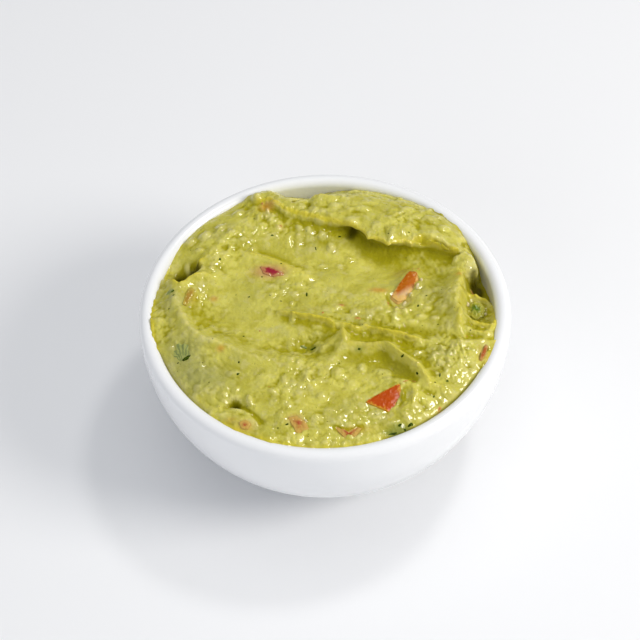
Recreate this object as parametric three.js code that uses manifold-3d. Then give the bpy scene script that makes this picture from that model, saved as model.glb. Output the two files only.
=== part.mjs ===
// Guacamole in a small white porcelain bowl, heaped level with the rim and worked into swirls with a spoon.
// Millimetres, +Z up. The origin is the middle of the foot ring's underside, and -Y is the serving side.
import * as THREE from "three";
import { ImprovedNoise } from "three/addons/math/ImprovedNoise.js";
import { mergeVertices } from "three/addons/utils/BufferGeometryUtils.js";
import Module from "manifold-3d";

const wasm = await Module();
wasm.setup();

// ---- Driving dimensions ----

const BOWL = {
  rimRadius: 60,
  height: 52,
  lipThickness: 5.1,
  shoulderHandle: 29.3, // how far the outside runs straight down before it turns in
  bellyHandle: 14.9, // how far it runs out from the foot before it turns up
  floorHeight: 7.9, // top of the floor, inside
  floorRadius: 20,
  innerShoulderHandle: 27.4,
  innerBellyHandle: 17.5,
  footRadius: 27,
  footWidth: 3.6,
  footHeight: 2.7,
  footEdge: 0.5, // the bare, rounded edge that stands on the table
  segments: 60,
};

const GAP = 0.3; // air between pieces that touch

const FILL = {
  plain: 51.6, // level away from the wall
  edgeBand: 9, // how far in from the wall its own level reaches
  cling: 3.5, // how steeply the film that clings to the wall falls away inwards
  sharp: 1.5, // a crest that falls away faster than this on one side has a narrow back
  backWidth: 1.1,
  cell: 2.4, // spacing of the relief's grid
  lumpSize: 7,
  lumpHeight: 0.55,
};

// Where the guacamole meets the wall: degrees round from +X, and its level there.
const EDGE_LEVELS = [
  [0, 50.4], [7, 50], [17, 50.2], [24, 50.8], [34, 51], [48, 51.4], [62, 50.3], [76, 49.4], [88, 46.6],
  [95, 44.2], [109, 46.4], [114, 51], [125, 50.3], [140, 50.8], [152, 50.3], [159, 50.6], [164, 51.2],
  [172, 51], [182, 51.5], [196, 51.2], [212, 49.8], [226, 48.9], [232, 49.5], [240, 49.8], [246, 50.8],
  [260, 50.9], [290, 51.1], [306, 50.4], [320, 49.8], [332, 50], [338, 49.8], [345, 50.8], [353, 49.6],
  [360, 50.4],
];

// Broad mounds and hollows that the spoon left: centre, half-lengths, turn in degrees, and height.
const MOUNDS = [
  { at: [50.5, 14.3], half: [1.8, 2.6], turn: 0, height: -3.4 }, // gap by the right wall
  { at: [22.5, 17.8], half: [25, 8.5], turn: -8, height: -2.8 }, // trough in front of the fold
  { at: [16.2, 24.1], half: [11, 4], turn: -26, height: -1.3 }, // its deep end, under the fold
  { at: [-7.6, 27.7], half: [16, 9], turn: 20, height: -1 }, // left end of the trough
  { at: [-31.1, -2.8], half: [20, 8.5], turn: -24, height: -1.5 }, // long sweep on the left
  { at: [-5.6, -16.3], half: [10, 4.2], turn: -6, height: -2.2 }, // dip beside the peak
  { at: [23.8, -10.7], half: [17, 3], turn: -14, height: -1 }, // furrow between the long crests
  { at: [21.9, -25.8], half: [8, 4.6], turn: -40, height: -1.3 }, // hollow inside the curved crest
  { at: [48.5, 2.1], half: [4.6, 9.5], turn: 0, height: -5 }, // low ground along the right wall
  { at: [-46, 17.4], half: [4.6, 3.4], turn: 25, height: -3.4 }, // pit by the left wall
  { at: [-46.9, 15.4], half: [1.7, 2], turn: 0, height: -3.2 }, // its left hole
  { at: [-42.2, 18.4], half: [1.3, 1.8], turn: 20, height: -3 }, // its right hole
  { at: [9.9, 36.9], half: [4.2, 2.4], turn: -30, height: -2.4 }, // hole under the arch of the fold
  { at: [-7.5, 50.3], half: [7.5, 4], turn: 0, height: -3.2 }, // gap along the back wall
  { at: [-2.7, -35.9], half: [30, 12], turn: -4, height: 1.9 }, // front mound
  { at: [-32.5, 32.5], half: [14, 10], turn: 35, height: 1 }, // back left mound
  { at: [24.3, 37.7], half: [25, 9], turn: -20, height: 1.9 }, // shelf behind the fold
  { at: [0, 43.3], half: [8, 5.5], turn: -10, height: 1.5 }, // head of the shelf
  { at: [-27.2, -43.6], half: [6.4, 3.2], turn: -26, height: -1 }, // lump by the front left wall
  { at: [47, 15.5], half: [3.4, 4.2], turn: 0, height: 2 }, // lump beside the right wall
  { at: [-21.9, 47.9], half: [3, 3.2], turn: 0, height: 2.4 }, // tip against the back wall
  { at: [38.9, -24.1], half: [10, 11], turn: -28, height: 1.5 }, // slab in the right corner
];

// The big fold, a sheet smeared forward over the trough: the line of its lip as (x, y, level), and the line
// (x, y) that it bends over from.
const FOLD = {
  lip: [
    [-21.7, 42.4, 53], [-19.6, 43.3, 53.9], [-16.8, 43, 54.4], [-14.4, 41, 54.3], [-12.4, 38.7, 54],
    [-6.4, 36.8, 54], [0.5, 33.9, 54.3], [5.8, 32.8, 54.7], [9.4, 31.6, 55.1], [12.3, 29.9, 55.3],
    [14.2, 27.6, 55.5], [14.8, 24.8, 55.7], [15.8, 24.9, 55.7], [16.8, 25.3, 55.7], [18.4, 24.4, 55.8],
    [19.9, 22.7, 55.9], [21.5, 20.3, 55.9], [22.6, 21.7, 55.8], [24.6, 22.8, 55.6], [26.9, 23.1, 55.2],
    [28.9, 22.1, 54.9], [30.2, 24.3, 54.6], [31.8, 24.2, 54.2], [34.8, 22.7, 53.8], [39.4, 20.4, 53.4],
    [42.4, 17.7, 53],
  ],
  root: [
    [-26, 46], [-18, 46], [-12, 41.5], [0, 37], [8, 35], [14, 31.5], [20, 28.4], [27, 27.2],
    [33, 26.4], [38, 25.2], [44, 22.8],
  ],
  span: [-25, 47], // where it starts and ends, from left to right
  ends: 5, // how soon it rises to its full height at either end
  back: 11, // how far behind the root it fades into the mash
  drop: 2.2, // how far in front of the lip it reaches the trough
};

// Crests: points along each, its height at every point, and how fast it falls away to the left and the right
// of the way it runs. A narrow side is a cliff, and a height below zero is a groove.
const CRESTS = [
  {
    // a smaller fold behind its right end
    points: [[29.5, 27.2], [31, 27.2], [35, 26], [39.5, 23.2], [43.4, 21.4]],
    heights: [-0.4, 0.9, 5.1, 4.5, 3.8],
    left: 4, right: 0.8,
  },
  {
    // hollow under it
    points: [[32.8, 26.6], [36.7, 25.8], [40.2, 23.8], [42.7, 21.4]],
    heights: [-3.4, -4.6, -3.5, -2.2],
    left: 0.8, right: 1,
  },
  {
    // the straight crest down the right side
    points: [[44.2, 12.5], [44.7, 4.9], [43.9, -3.2], [42.8, -9.7], [43.1, -14.5]],
    heights: [3, 6.8, 5.3, 2.2, 0.8],
    left: 1.7, right: 5,
  },
  {
    // the long thin crest, left part
    points: [[-14.7, -1.7], [-10.5, -3.4], [-5.4, -4.8], [0, -7], [2.9, -8.9]],
    heights: [0.7, 1.7, 2.3, 2.4, 1.9],
    left: 4, right: 0.8,
  },
  {
    // the long thin crest, middle part
    points: [[4.1, -8.1], [7, -9.1], [9.8, -10.5], [12.7, -10.3]],
    heights: [0.7, 1.8, 2, 0.6],
    left: 3.5, right: 0.8,
  },
  {
    // the long thin crest, right part
    points: [[12.7, -9.5], [16.5, -11.4], [20.5, -12.9], [24.9, -13.9], [31.1, -16.1]],
    heights: [1.4, 2.5, 2.6, 2.5, 0.8],
    left: 3, right: 1.3,
  },
  {
    // a step beyond it
    points: [[30.6, -15.2], [33, -16.4], [35.5, -17.7]],
    heights: [-0.2, 0.3, -0.5],
    left: 3, right: 0.9,
  },
  {
    // upper edge of the corner slab
    points: [[35, -16], [39.3, -17.5], [45, -17.3], [50.1, -16.3]],
    heights: [0.2, 0.4, 1.1, 1.5],
    left: 1.6, right: 7,
  },
  {
    // the peak
    points: [[5.6, -14.1], [5.8, -14.5], [6.2, -15.3], [7, -16.3]],
    heights: [4.6, 3.4, 1.8, 0.1],
    left: 1.7, right: 1.9,
  },
  {
    // the front of the peak
    points: [[5.4, -15.4], [4.9, -17.4], [3.5, -19.9], [2.2, -22.7]],
    heights: [2.1, 2.6, 1.7, 0.7],
    left: 3.2, right: 3.2,
  },
  {
    // the curved crest that trails from the peak
    points: [[7.7, -17.3], [12.9, -18.2], [19.1, -18.9], [22.7, -22.2], [26.8, -25.7], [29.3, -29],
      [31.3, -32.5], [33.1, -34.1], [35.4, -35.1], [37.8, -35.9]],
    heights: [2, 3.3, 4.3, 4.7, 4.2, 3.5, 2.7, 1.9, 1.4, 1.3],
    left: 2, right: 2.3,
  },
  {
    // the peak's left skirt
    points: [[4.2, -14.7], [1.8, -15.5], [-1.1, -17]],
    heights: [-0.2, 1.5, 2.1],
    left: 1.8, right: 2.6,
  },
  {
    // the brow of the front mound
    points: [[-49.2, 10.4], [-47.8, 3.8], [-45.9, -4.2], [-42.9, -10.2], [-37.7, -14.4],
      [-31.3, -17.7], [-23.8, -21], [-17.5, -22.7], [-10.6, -23.2]],
    heights: [0.5, 3.3, 3.7, 3.5, 3.3, 3.1, 2.5, 1.8, 1.1],
    left: 4, right: 4.6,
  },
  {
    // the torn edge over the pit on the left
    points: [[-51.5, 13.8], [-48.8, 11.4], [-47.4, 10.6], [-45.8, 10.7], [-43.9, 12.1], [-41.6, 13.3],
      [-38.7, 13.9], [-35.8, 13.5]],
    heights: [1.9, 2.9, 2.1, 1.6, 1.6, 1.7, 0.7, 0.2],
    left: 0.8, right: 4,
  },
  {
    // back edge of the smooth plain, left part
    points: [[-41.6, 18.2], [-39.3, 21.5], [-36, 24.3], [-32.1, 25.3]],
    heights: [4.4, 0.7, 0.3, -0.3],
    left: 1.3, right: 6,
  },
  {
    // back edge of the smooth plain, right part
    points: [[-28.1, 24.4], [-23.5, 23], [-17.2, 20.8], [-12, 17.8], [-6.8, 14.3], [-3.6, 10.8]],
    heights: [0.1, 1, 1.5, 1.4, 0.9, 0],
    left: 1.1, right: 6,
  },
  {
    // groove above the front left lump
    points: [[-33.2, -39.4], [-30.4, -38.7], [-28.5, -38.4], [-26.6, -39.5], [-23.6, -41.6],
      [-20.6, -45.6]],
    heights: [0.9, -1.2, -4.5, -1.4, -1.1, -1.2],
    left: 1.2, right: 0.9,
  },
  {
    // foot of the torn edge
    points: [[-50.2, 14.6], [-48.4, 13.4], [-46.8, 13], [-45, 14], [-43, 15.9], [-41, 17.2]],
    heights: [-0, -1.4, -2, -1.2, -3, -2.5],
    left: 1.3, right: 0.7,
  },
  {
    // seam by the front wall
    points: [[2.8, -48.8], [6.8, -49.4], [10.5, -48.7]],
    heights: [-1.4, -1.7, -1.3],
    left: 1.2, right: 1.2,
  },
  {
    // roll round the right side of the front tomato
    points: [[23.1, -33], [26.1, -34.2], [27.5, -37.5], [25.8, -41.7], [21.7, -44.4]],
    heights: [0.8, 1.4, 1.5, 1.4, 0.6],
    left: 2, right: 1.6,
  },
  {
    // smear up the right wall
    points: [[54.5, 2.6], [55, -3], [54.3, -8.1], [52.4, -11.6]],
    heights: [1.1, 1.8, 1.8, 0.9],
    left: 1.3, right: 1.3,
  },
  {
    // curl under the green chunk
    points: [[43.8, -2.1], [45.6, -5.1], [48.2, -7.7], [51.4, -8.8], [53.9, -9.1]],
    heights: [-3.7, 0.5, 1.9, 1.9, 0.1],
    left: 1.3, right: 1.2,
  },
  {
    // second smear below it
    points: [[44.4, -11.5], [48.5, -12.5], [52.3, -13.1]],
    heights: [0, 1.4, 1.2],
    left: 1.1, right: 1.4,
  },
  {
    // step above the green chunk
    points: [[45, 5.8], [48.9, 5.5], [52.7, 5]],
    heights: [-3, 4.9, 3],
    left: 0.8, right: 2.4,
  },
  {
    // slit in the back left mound
    points: [[-20.2, 33.1], [-18.3, 31.7]],
    heights: [-0.1, 0.2],
    left: 0.5, right: 0.5,
  },
  {
    // crack beside the head of the shelf
    points: [[-9.4, 46], [-7.1, 47.1], [-4.6, 47.5]],
    heights: [-4.8, -4, -3.4],
    left: 0.6, right: 0.7,
  },
  {
    // slit beside the right tomato
    points: [[20.3, 4.1], [20.7, 2.5], [21.3, 0.2]],
    heights: [-0.8, -1.3, -0.9],
    left: 0.5, right: 0.5,
  },
  {
    // nick near the wall
    points: [[-44.5, 33.6], [-43.7, 35.2]],
    heights: [-1, -1.1],
    left: 0.5, right: 0.5,
  },
  {
    // head of the shelf, its left edge
    points: [[-4.7, 43.8], [-3, 46.4], [-0.6, 47.2], [4.1, 45.4], [8.5, 44.9]],
    heights: [-1.4, 0.5, 1.3, 0.3, -0.3],
    left: 1.1, right: 2.2,
  },
];

// Rounded lumps with steep sides: the level of their foot, and how far they rise from it.
const BLOBS = [
  { at: [46.3, 16.4], half: [4.6, 5.2], turn: 0, foot: 50.8, rise: 3.3 }, // the lump beside the right wall
  { at: [-29.5, -49.2], half: [9.4, 8.2], turn: -12, foot: 50.3, rise: 2 }, // the lump by the front left wall
];

// Diced vegetables pressed into the surface: the outline of the cut face, how thick the piece is, where it
// lies, how far its top stands out of the guacamole, and how it is turned and tipped, in degrees. A facet
// cuts the top back: its fall along x and along y, and its height over the middle.
const DICE = [
  {
    name: "tomato_front",
    outline: [[-6.6, -1.2], [4.2, 5.3], [4.3, 1], [1, -4.6]],
    thick: 4.4, at: [18.4, -38.9], proud: 0.5, turn: 0, tip: [8, 3], colour: "tomato",
    facet: [0.55, -0.36, 1.5],
  },
  {
    name: "tomato_right",
    outline: [[-6.8, -1.6], [-6.2, 1.9], [5.9, 2.4], [7, 0.4], [5.4, -2.4], [-3.5, -2.9]],
    thick: 4.2, at: [26.4, 7.6], proud: 0.7, turn: 54, tip: [4, -6], colour: "tomatoPale",
    facet: [0.1, -0.8, 0.9],
  },
  {
    name: "tomato_front_small",
    outline: [[-3.4, 1.8], [-0.8, 2.2], [2, 0.4], [3, -1.8], [1.6, -4], [-0.4, -4.2], [-1.4, -1.4]],
    thick: 2.8, at: [-8.8, -47], proud: 0.3, turn: 0, tip: [14, 0], colour: "tomatoPeach",
  },
  {
    name: "tomato_front_strip",
    outline: [[-4.8, 2.6], [-3.4, 3.2], [-0.4, 0.6], [3.4, 3.4], [4.6, 3], [1.6, -0.9], [-1.4, -1.2]],
    thick: 2.6, at: [6.6, -51], proud: 0.3, turn: 0, tip: [14, 0], colour: "tomatoPeach",
  },
  {
    name: "tomato_corner",
    outline: [[-1.6, 0.9], [0.2, 1.5], [1.7, 0.5], [0.8, -1.1], [-1, -0.9]],
    thick: 1.6, at: [-25.3, -46.9], proud: 0.4, turn: 0, tip: [16, 0], colour: "tomatoPeach",
  },
  {
    name: "tomato_edge",
    outline: [[-0.7, 3.2], [0.35, 3], [0.45, -2.9], [-0.5, -3.1]],
    thick: 2.4, at: [49.75, -21.2], proud: 0.3, turn: -22.8, tip: [0, 14], colour: "tomatoPeach",
  },
  {
    name: "onion_red",
    outline: [[-4.2, 1.3], [-1.6, 1.9], [3.9, 0.4], [4.2, -0.6], [1.2, -1.8], [-2.4, -1.3]],
    thick: 2.2, at: [-17.2, 15.2], proud: 0.25, turn: -14, tip: [8, 0], colour: "onion",
  },
  {
    name: "pepper_left",
    outline: [[-3.9, -0.9], [-3.6, 0.8], [3, 1.2], [4.1, 0.2], [3.3, -1]],
    thick: 2.2, at: [-43.9, 4.8], proud: 0.15, turn: 72, tip: [6, 0], colour: "pepper",
  },
  {
    name: "avocado_right",
    outline: [[-3, 1.6], [-1, 2.8], [2, 2.6], [3.2, 0.6], [2.2, -2.8], [-0.8, -3.6], [-2.8, -1.8]],
    thick: 3.6, at: [49, 0.6], proud: 0.7, turn: 8, tip: [10, 8], colour: "avocado",
    facet: [-0.7, 0.2, 1.2],
  },
];

const COLOURS = {
  porcelain: { color: "#f1f3f5", roughness: 0.22 },
  guacamole: { color: "#c3ba55", roughness: 0.42 },
  tomato: { color: "#c0441c", roughness: 0.3 },
  tomatoPale: { color: "#cc7430", roughness: 0.3 },
  tomatoPeach: { color: "#c08a48", roughness: 0.36 },
  onion: { color: "#a8485a", roughness: 0.32 },
  pepper: { color: "#ae8a3c", roughness: 0.38 },
  avocado: { color: "#8f9a34", roughness: 0.36 },
};

// ---- Solids ----

function toSolid(geometry) {
  const bare = new THREE.BufferGeometry();
  const flat = geometry.index ? geometry.toNonIndexed() : geometry;
  bare.setAttribute("position", flat.getAttribute("position"));
  const merged = mergeVertices(bare, 1e-3);
  return new wasm.Manifold(
    new wasm.Mesh({
      numProp: 3,
      vertProperties: merged.attributes.position.array,
      triVerts: new Uint32Array(merged.index.array),
    }),
  );
}

function toGeometry(solid) {
  const mesh = solid.getMesh();
  const geometry = new THREE.BufferGeometry();
  geometry.setAttribute("position", new THREE.BufferAttribute(mesh.vertProperties, 3));
  geometry.setIndex(new THREE.BufferAttribute(mesh.triVerts, 1));
  geometry.computeVertexNormals();
  return geometry;
}

// Turns a profile of (radius, height) points, listed from the axis outwards and up, about +Z.
function turned(profile) {
  const lathe = new THREE.LatheGeometry(profile, BOWL.segments);
  return lathe.rotateX(Math.PI / 2);
}

// ---- Bowl ----

const wallTop = BOWL.height - BOWL.lipThickness / 2;
const innerRadius = BOWL.rimRadius - BOWL.lipThickness;

// The inside of the wall, from the edge of the flat floor up to the lip, moved inwards by an inset.
function innerWall(steps, inset) {
  const curve = new THREE.CubicBezierCurve(
    new THREE.Vector2(BOWL.floorRadius, BOWL.floorHeight),
    new THREE.Vector2(BOWL.floorRadius + BOWL.innerBellyHandle, BOWL.floorHeight),
    new THREE.Vector2(innerRadius, wallTop - BOWL.innerShoulderHandle),
    new THREE.Vector2(innerRadius, wallTop),
  );
  const points = [];
  for (let i = 0; i <= steps; i++) {
    const along = curve.getTangent(i / steps);
    const inwards = new THREE.Vector2(-along.y, along.x);
    points.push(curve.getPoint(i / steps).addScaledVector(inwards, inset));
  }
  return points;
}

function outerWall(steps) {
  const curve = new THREE.CubicBezierCurve(
    new THREE.Vector2(BOWL.footRadius, BOWL.footHeight),
    new THREE.Vector2(BOWL.footRadius + BOWL.bellyHandle, BOWL.footHeight),
    new THREE.Vector2(BOWL.rimRadius, wallTop - BOWL.shoulderHandle),
    new THREE.Vector2(BOWL.rimRadius, wallTop),
  );
  return curve.getPoints(steps);
}

function footRing() {
  const { footRadius, footWidth, footHeight, footEdge } = BOWL;
  const inside = footRadius - footWidth;
  return [
    new THREE.Vector2(0, footHeight),
    new THREE.Vector2(inside - footEdge, footHeight),
    new THREE.Vector2(inside, footEdge),
    new THREE.Vector2(inside + footEdge, 0),
    new THREE.Vector2(footRadius - 2 * footEdge, 0),
    new THREE.Vector2(footRadius - footEdge, footEdge),
  ];
}

function lip(steps) {
  const half = BOWL.lipThickness / 2;
  const points = [];
  for (let i = 1; i < steps; i++) {
    const angle = (Math.PI * i) / steps;
    points.push(
      new THREE.Vector2(BOWL.rimRadius - half + half * Math.cos(angle), wallTop + half * Math.sin(angle)),
    );
  }
  return points;
}

function bowl() {
  const inside = innerWall(8, 0).reverse();
  const axis = new THREE.Vector2(0, BOWL.floorHeight);
  return turned([...footRing(), ...outerWall(11), ...lip(6), ...inside, axis]);
}

// ---- Guacamole ----

const noise = new ImprovedNoise();

function samplesAlong(crest) {
  const curve = new THREE.SplineCurve(crest.points.map(([x, y]) => new THREE.Vector2(x, y)));
  const steps = 6 * (crest.points.length - 1);
  return curve.getPoints(steps).map((point, i) => {
    const along = (i / steps) * (crest.heights.length - 1);
    const k = Math.min(Math.floor(along), crest.heights.length - 2);
    return { point, height: THREE.MathUtils.lerp(crest.heights[k], crest.heights[k + 1], along - k) };
  });
}

const crestSamples = CRESTS.map(samplesAlong);

// The nearest place on a crest to (x, y): where it is, how far off, how high, and on which side (x, y) lies.
function nearestOn(samples, x, y) {
  let best = { distance: Infinity };
  for (let i = 0; i + 1 < samples.length; i++) {
    const a = samples[i].point;
    const b = samples[i + 1].point;
    const run = [b.x - a.x, b.y - a.y];
    const off = [x - a.x, y - a.y];
    const dot = off[0] * run[0] + off[1] * run[1];
    const share = THREE.MathUtils.clamp(dot / (run[0] ** 2 + run[1] ** 2), 0, 1);
    const place = [a.x + share * run[0], a.y + share * run[1]];
    const distance = Math.hypot(x - place[0], y - place[1]);
    if (distance < best.distance) {
      const height = THREE.MathUtils.lerp(samples[i].height, samples[i + 1].height, share);
      best = { distance, place, height, onLeft: run[0] * off[1] > run[1] * off[0] };
    }
  }
  return best;
}

function crestHeight(crest, samples, x, y) {
  const near = nearestOn(samples, x, y);
  const width = near.onLeft ? crest.left : crest.right;
  const foot = Math.exp(-((near.distance / width) ** 1.5));
  if (Math.min(crest.left, crest.right) > FILL.sharp) return near.height * foot;
  const back = Math.exp(-((near.distance / Math.min(width, FILL.backWidth)) ** 2));
  return near.height * THREE.MathUtils.lerp(foot, back, 0.4);
}

// How far (x, y) lies from the middle of an oval, squared, where its edge counts as 1.
function ovalReach({ at, half, turn }, x, y) {
  const angle = THREE.MathUtils.degToRad(turn);
  const dx = x - at[0];
  const dy = y - at[1];
  const u = (dx * Math.cos(angle) + dy * Math.sin(angle)) / half[0];
  const v = (-dx * Math.sin(angle) + dy * Math.cos(angle)) / half[1];
  return u * u + v * v;
}

function moundHeight(mound, x, y) {
  return mound.height * Math.exp(-ovalReach(mound, x, y));
}

// Reads a table of (place, ..., value) rows at a place between them.
function readTable(rows, place) {
  const last = rows[0].length - 1;
  const next = rows.findIndex((row, i) => i > 0 && (row[0] > place || i === rows.length - 1));
  const [a, b] = [rows[next - 1], rows[next]];
  const share = THREE.MathUtils.clamp((place - a[0]) / (b[0] - a[0]), 0, 1);
  return THREE.MathUtils.lerp(a[last], b[last], share);
}

const lipLevels = FOLD.lip.map(([x, , level]) => [x, level]);
const lipLine = FOLD.lip.map(([x, y]) => [x, y]);

// Lays the big fold over the surface: level from its root to its lip, then down to what lies in front of it.
function foldOver(z, x, y) {
  const { smoothstep } = THREE.MathUtils;
  const level = readTable(lipLevels, x);
  const behindRoot = Math.max(y - readTable(FOLD.root, x), 0);
  const beyondLip = readTable(lipLine, x) - y;
  const sheet = z + (level - z) * Math.exp(-((behindRoot / FOLD.back) ** 2));
  const folded = sheet - Math.max(level - z, 0) * smoothstep(beyondLip, 0, FOLD.drop);
  const share = smoothstep(x, FOLD.span[0], FOLD.span[0] + FOLD.ends)
    * (1 - smoothstep(x, FOLD.span[1] - FOLD.ends, FOLD.span[1]));
  return THREE.MathUtils.lerp(z, folded, share);
}

function surfaceHeight(x, y) {
  const radius = Math.hypot(x, y);
  const edge = readTable(EDGE_LEVELS, (THREE.MathUtils.radToDeg(Math.atan2(y, x)) + 360) % 360);
  const inward = THREE.MathUtils.smoothstep(innerRadius - radius, 0, FILL.edgeBand);
  let z = THREE.MathUtils.lerp(edge, FILL.plain, inward);
  for (const mound of MOUNDS) z += moundHeight(mound, x, y);
  z = foldOver(z, x, y);
  CRESTS.forEach((crest, i) => {
    z += crestHeight(crest, crestSamples[i], x, y);
  });
  z = Math.max(z, edge - FILL.cling * Math.max(innerRadius - radius, 0));
  for (const blob of BLOBS) {
    const inside = 1 - ovalReach(blob, x, y);
    if (inside <= 0) continue;
    const top = Math.max(z, blob.foot + blob.rise * Math.sqrt(inside));
    z = THREE.MathUtils.lerp(z, top, THREE.MathUtils.smoothstep(innerRadius - radius, 0, 3));
  }
  return z + FILL.lumpHeight * (0.8 + noise.noise(x / FILL.lumpSize, y / FILL.lumpSize, 0.5));
}

// The lines whose edge must stay sharp: the fold's lip, and each crest with a cliff.
const sharpLines = [
  FOLD.lip.map(([x, y]) => ({ point: new THREE.Vector2(x, y), height: 0 })),
  ...crestSamples.filter((_, i) => Math.min(CRESTS[i].left, CRESTS[i].right) < FILL.cell),
];

// Grid points close to a sharp line move onto it, so that the edge stays sharp between them.
function ontoCrest(x, y) {
  for (const samples of sharpLines) {
    const near = nearestOn(samples, x, y);
    if (near.distance < 0.52 * FILL.cell) return near.place;
  }
  return [x, y];
}

// Each square cell folds along its flatter diagonal, so that the folds run with the crests.
function foldAlongRelief(block) {
  const top = block.groups[4];
  const height = (corner) => block.getAttribute("position").getZ(corner);
  for (let i = top.start; i < top.start + top.count; i += 6) {
    const [a, b, d, , c] = block.index.array.slice(i, i + 6);
    if (Math.abs(height(a) - height(c)) < Math.abs(height(b) - height(d))) {
      block.index.array.set([a, b, c, a, c, d], i);
    }
  }
}

// A square block whose top is the worked surface.
function reliefBlock() {
  const cells = Math.ceil((2 * (innerRadius + 2)) / FILL.cell);
  const reach = (cells * FILL.cell) / 2;
  const block = new THREE.BoxGeometry(2 * reach, 2 * reach, 1, cells, cells, 1);
  const place = block.getAttribute("position");
  for (let i = 0; i < place.count; i++) {
    const [x, y] = ontoCrest(place.getX(i), place.getY(i));
    place.setXYZ(i, x, y, place.getZ(i) > 0 ? surfaceHeight(x, y) : 0);
  }
  foldAlongRelief(block);
  return toSolid(block);
}

// The space inside the bowl, a gap clear of its wall, from the floor to well above the rim.
function bowlInside() {
  const top = BOWL.height + 12;
  const inside = [
    new THREE.Vector2(0, BOWL.floorHeight + GAP),
    ...innerWall(8, GAP),
    new THREE.Vector2(innerRadius - GAP, top),
    new THREE.Vector2(0, top),
  ];
  return toSolid(turned(inside));
}

// A diced piece: its outline cut straight through, its edges eased, its cut face on top.
function diceSolid({ outline, thick }, grow) {
  const shape = new THREE.Shape(outline.map(([x, y]) => new THREE.Vector2(x, y)));
  const ease = 0.35;
  const geometry = new THREE.ExtrudeGeometry(shape, {
    depth: thick - 2 * ease,
    bevelThickness: ease + grow,
    bevelSize: ease + grow,
    bevelOffset: -ease,
    bevelSegments: 1,
    steps: 1,
  });
  return toSolid(geometry.translate(0, 0, -thick + ease));
}

function diceGeometry(dice) {
  const solid = diceSolid(dice, 0);
  if (!dice.facet) return toGeometry(solid);
  const [fallX, fallY, height] = dice.facet;
  const length = Math.hypot(fallX, fallY, 1);
  return toGeometry(solid.trimByPlane([-fallX / length, -fallY / length, -1 / length], -height / length));
}

function diceMatrix({ at, proud, turn = 0, tip }) {
  const rad = THREE.MathUtils.degToRad;
  const spin = new THREE.Euler(rad(tip[0]), rad(tip[1]), rad(turn), "ZYX");
  const level = surfaceHeight(...at) + proud;
  return new THREE.Matrix4().makeRotationFromEuler(spin).setPosition(at[0], at[1], level);
}

function guacamole() {
  let solid = bowlInside().intersect(reliefBlock());
  for (const dice of DICE) {
    solid = solid.subtract(diceSolid(dice, GAP).transform(diceMatrix(dice).toArray()));
  }
  return toGeometry(solid);
}

// ---- The scene graph ----

function mesh(name, geometry, look) {
  const material = new THREE.MeshStandardMaterial({ metalness: 0, ...COLOURS[look] });
  const made = new THREE.Mesh(geometry, material);
  made.name = name;
  return made;
}

const filledBowl = new THREE.Group();
filledBowl.add(mesh("bowl", bowl(), "porcelain"));
filledBowl.add(mesh("guacamole", guacamole(), "guacamole"));
for (const dice of DICE) {
  const piece = mesh(dice.name, diceGeometry(dice), dice.colour);
  piece.applyMatrix4(diceMatrix(dice));
  filledBowl.add(piece);
}

export default filledBowl;
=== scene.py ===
"""Guacamole in a small white porcelain bowl: chunky mash worked into folds and crests with a spoon, with
diced tomato, red onion and chopped coriander in it. Sizes are in millimetres, and the scene is in metres with
+Z up."""

import math
import random

import bpy
import numpy as np
from mathutils import Matrix, Vector


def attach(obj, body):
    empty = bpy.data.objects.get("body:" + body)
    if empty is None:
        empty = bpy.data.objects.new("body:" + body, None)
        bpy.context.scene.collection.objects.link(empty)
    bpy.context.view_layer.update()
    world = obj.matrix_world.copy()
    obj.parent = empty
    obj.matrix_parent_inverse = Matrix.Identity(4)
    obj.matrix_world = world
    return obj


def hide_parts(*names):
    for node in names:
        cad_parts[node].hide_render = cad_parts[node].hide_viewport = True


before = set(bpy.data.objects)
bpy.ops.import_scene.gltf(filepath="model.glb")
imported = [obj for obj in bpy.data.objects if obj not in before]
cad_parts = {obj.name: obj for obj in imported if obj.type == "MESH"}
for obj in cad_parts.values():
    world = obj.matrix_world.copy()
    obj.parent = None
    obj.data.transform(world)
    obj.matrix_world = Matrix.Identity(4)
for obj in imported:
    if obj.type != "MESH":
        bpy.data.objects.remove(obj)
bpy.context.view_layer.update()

MM = 0.001

# ---- The bowl's sizes ----

RIM_RADIUS = 60.0
BOWL_HEIGHT = 52.0
LIP = 5.1  # thickness of the wall at the rim, which is fully rounded
SHOULDER_HANDLE = 29.3
BELLY_HANDLE = 14.9
INNER_SHOULDER_HANDLE = 27.4
INNER_BELLY_HANDLE = 17.5
FLOOR_HEIGHT = 7.9
FLOOR_RADIUS = 20.0
FOOT_RADIUS = 27.0
FOOT_WIDTH = 3.6
FOOT_HEIGHT = 2.7
FOOT_EDGE = 0.5
WALL_TOP = BOWL_HEIGHT - LIP / 2
INNER_RADIUS = RIM_RADIUS - LIP

# ---- Where the camera stands, and where the things that it sees lie ----

VIEW_ANGLE = 50.06  # degrees above the horizon
VIEW_DISTANCE = 600.0  # from the middle of the rim
VIEW_ROLL = -1.468  # degrees
PICTURE = 640  # pixels across and down
FOCAL = 1863.3  # focal length in those pixels
OFF_CENTRE = (4.91, -13.89)  # how far the camera turns away from the rim's middle, in those pixels
SENSOR_WIDTH = 36.0
SIGHT = (0.01, 20.0)  # metres, nearest and farthest


def turn_about(axis, angle):
    """The matrix that turns about an axis."""
    x, y, z = axis
    cross = np.array([[0, -z, y], [z, 0, -x], [-y, x, 0]])
    return np.eye(3) + math.sin(angle) * cross + (1 - math.cos(angle)) * cross @ cross


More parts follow.
